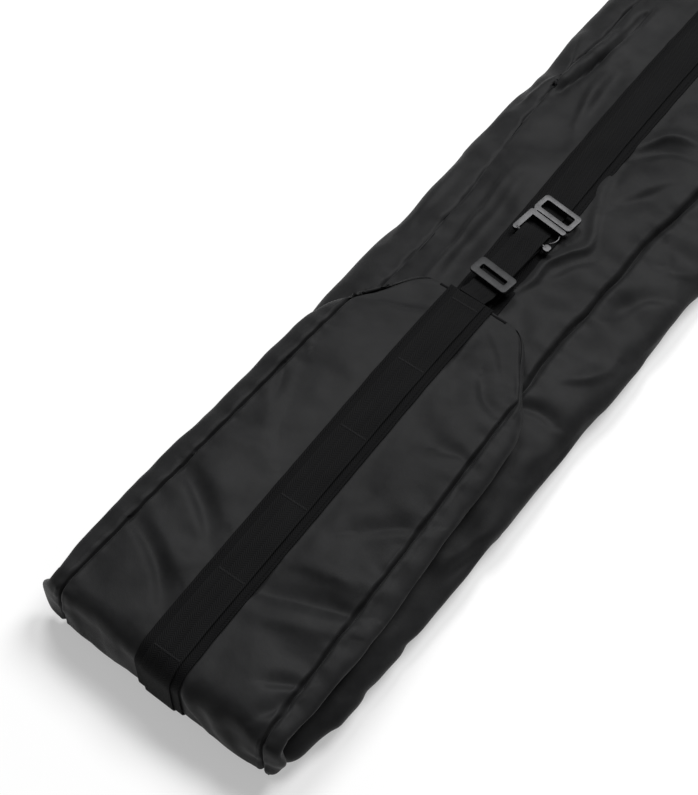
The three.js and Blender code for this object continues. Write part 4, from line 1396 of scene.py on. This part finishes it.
def build_slider():
    """A plate with one slot on the strap, and a narrower loop under the strap that holds it there."""
    start, _, slope = closure_line()
    axis = joint("hook_swing")["axis"]
    half_x, half_y = 22.5, 11
    shape = bmesh.new()
    ring_plate(shape, rounded_outline(half_x, half_y, 4), rounded_outline(15.5, 3, 1.5), 2.5, 5.5, 0.8)
    side = rounded_outline(2.4, 6, 1.2)
    for x in (-half_x + 2.8, half_x - 2.8):
        ring_plate(shape, side + [x, 0], side * 0.2 + [x, 0], -4.3, 3.0, 0.5)
    ring_plate(shape, rounded_outline(half_x - 0.4, 6, 2.4), rounded_outline(16, 1.6, 0.8), -4.4, -2.7, 0.5)
    bmesh.ops.recalc_face_normals(shape, faces=shape.faces)
    askew = Matrix.Rotation(math.atan2(axis[1], axis[0]), 3, "Z")
    bmesh.ops.rotate(shape, verts=shape.verts, matrix=askew)
    bmesh.ops.translate(shape, verts=shape.verts, vec=(0, SLIDER_ALONG, 0))
    bmesh.ops.rotate(shape, verts=shape.verts, matrix=Matrix.Rotation(slope, 3, "X"))
    for vert in shape.verts:
        vert.co = Vector(in_frame(np.array(vert.co) + start))
    return metal_object("strap_slider_plate", shape, bpy.data.meshes.new("strap_slider_plate"), SLIDER_METAL)


def build_hardware():
    fit(build_slider(), "slider_metal", "slider", "strap_slider")
    hook = cast_copy("g_hook", "g_hook_cast", HOOK_METAL, 0.9)
    fit(hook, "hook_metal", "hook", "g_hook")
    gate = cast_copy("hook_gate", "hook_gate_wire", GATE_METAL, 0.25)
    fit(gate, "gate_wire", "gate", "hook_gate")


# ---------------------------------------------------------------- studio

def build_floor():
    bpy.ops.mesh.primitive_grid_add(x_subdivisions=8, y_subdivisions=8, size=60, location=(0, 0, 0))
    floor = bpy.context.object
    floor.name = "studio_floor"
    floor.data.materials.append(floor_paint())


def area_light(name, place, size, power):
    """A round lamp aimed at the bag."""
    light = bpy.data.lights.new(name, "AREA")
    light.shape = "DISK"
    light.size = size
    light.energy = power
    obj = new_object(name, light)
    obj.location = place
    obj.rotation_euler = (LIGHT_AIM - Vector(place)).to_track_quat("-Z", "Y").to_euler()


LIGHT_AIM = Vector((0, -0.4, 0))
CAMERA_TARGET = Vector((-0.0633, CAD_LOW.y + 0.3521, 0))
CAMERA_AZIMUTH = math.radians(38.15)
CAMERA_ELEVATION = math.radians(58.6)
CAMERA_DISTANCE = 1.8255
CAMERA_LENS = 85.45


def build_studio():
    world = bpy.data.worlds.new("studio")
    world.use_nodes = True
    background = world.node_tree.nodes["Background"]
    background.inputs["Color"].default_value = (1, 1, 1, 1)
    background.inputs["Strength"].default_value = 0.16
    bpy.context.scene.world = world
    bpy.context.scene.view_settings.view_transform = "Standard"
    area_light("key", (0.6, 2.8, 4.8), 2.6, 290)
    area_light("sheen", (-1.9, 1.6, 4.4), 1.7, 150)
    camera = bpy.data.cameras.new("camera")
    camera.lens = CAMERA_LENS
    camera.clip_start, camera.clip_end = 0.05, 50
    obj = new_object("camera", camera)
    flat = math.cos(CAMERA_ELEVATION)
    back = Vector((math.sin(CAMERA_AZIMUTH) * flat, -math.cos(CAMERA_AZIMUTH) * flat,
                   math.sin(CAMERA_ELEVATION)))
    obj.location = CAMERA_TARGET + back * CAMERA_DISTANCE
    obj.rotation_euler = (-back).to_track_quat("-Z", "Y").to_euler()
    bpy.context.scene.camera = obj


build_studio()
build_floor()
build_fold()
build_body()
build_fold_webbing()
build_body_webbing()
build_bartacks()
build_stitches()
build_flap_inner()
build_inner_crease()
build_bindings()
build_tail_pad()
build_closure()
build_hardware()
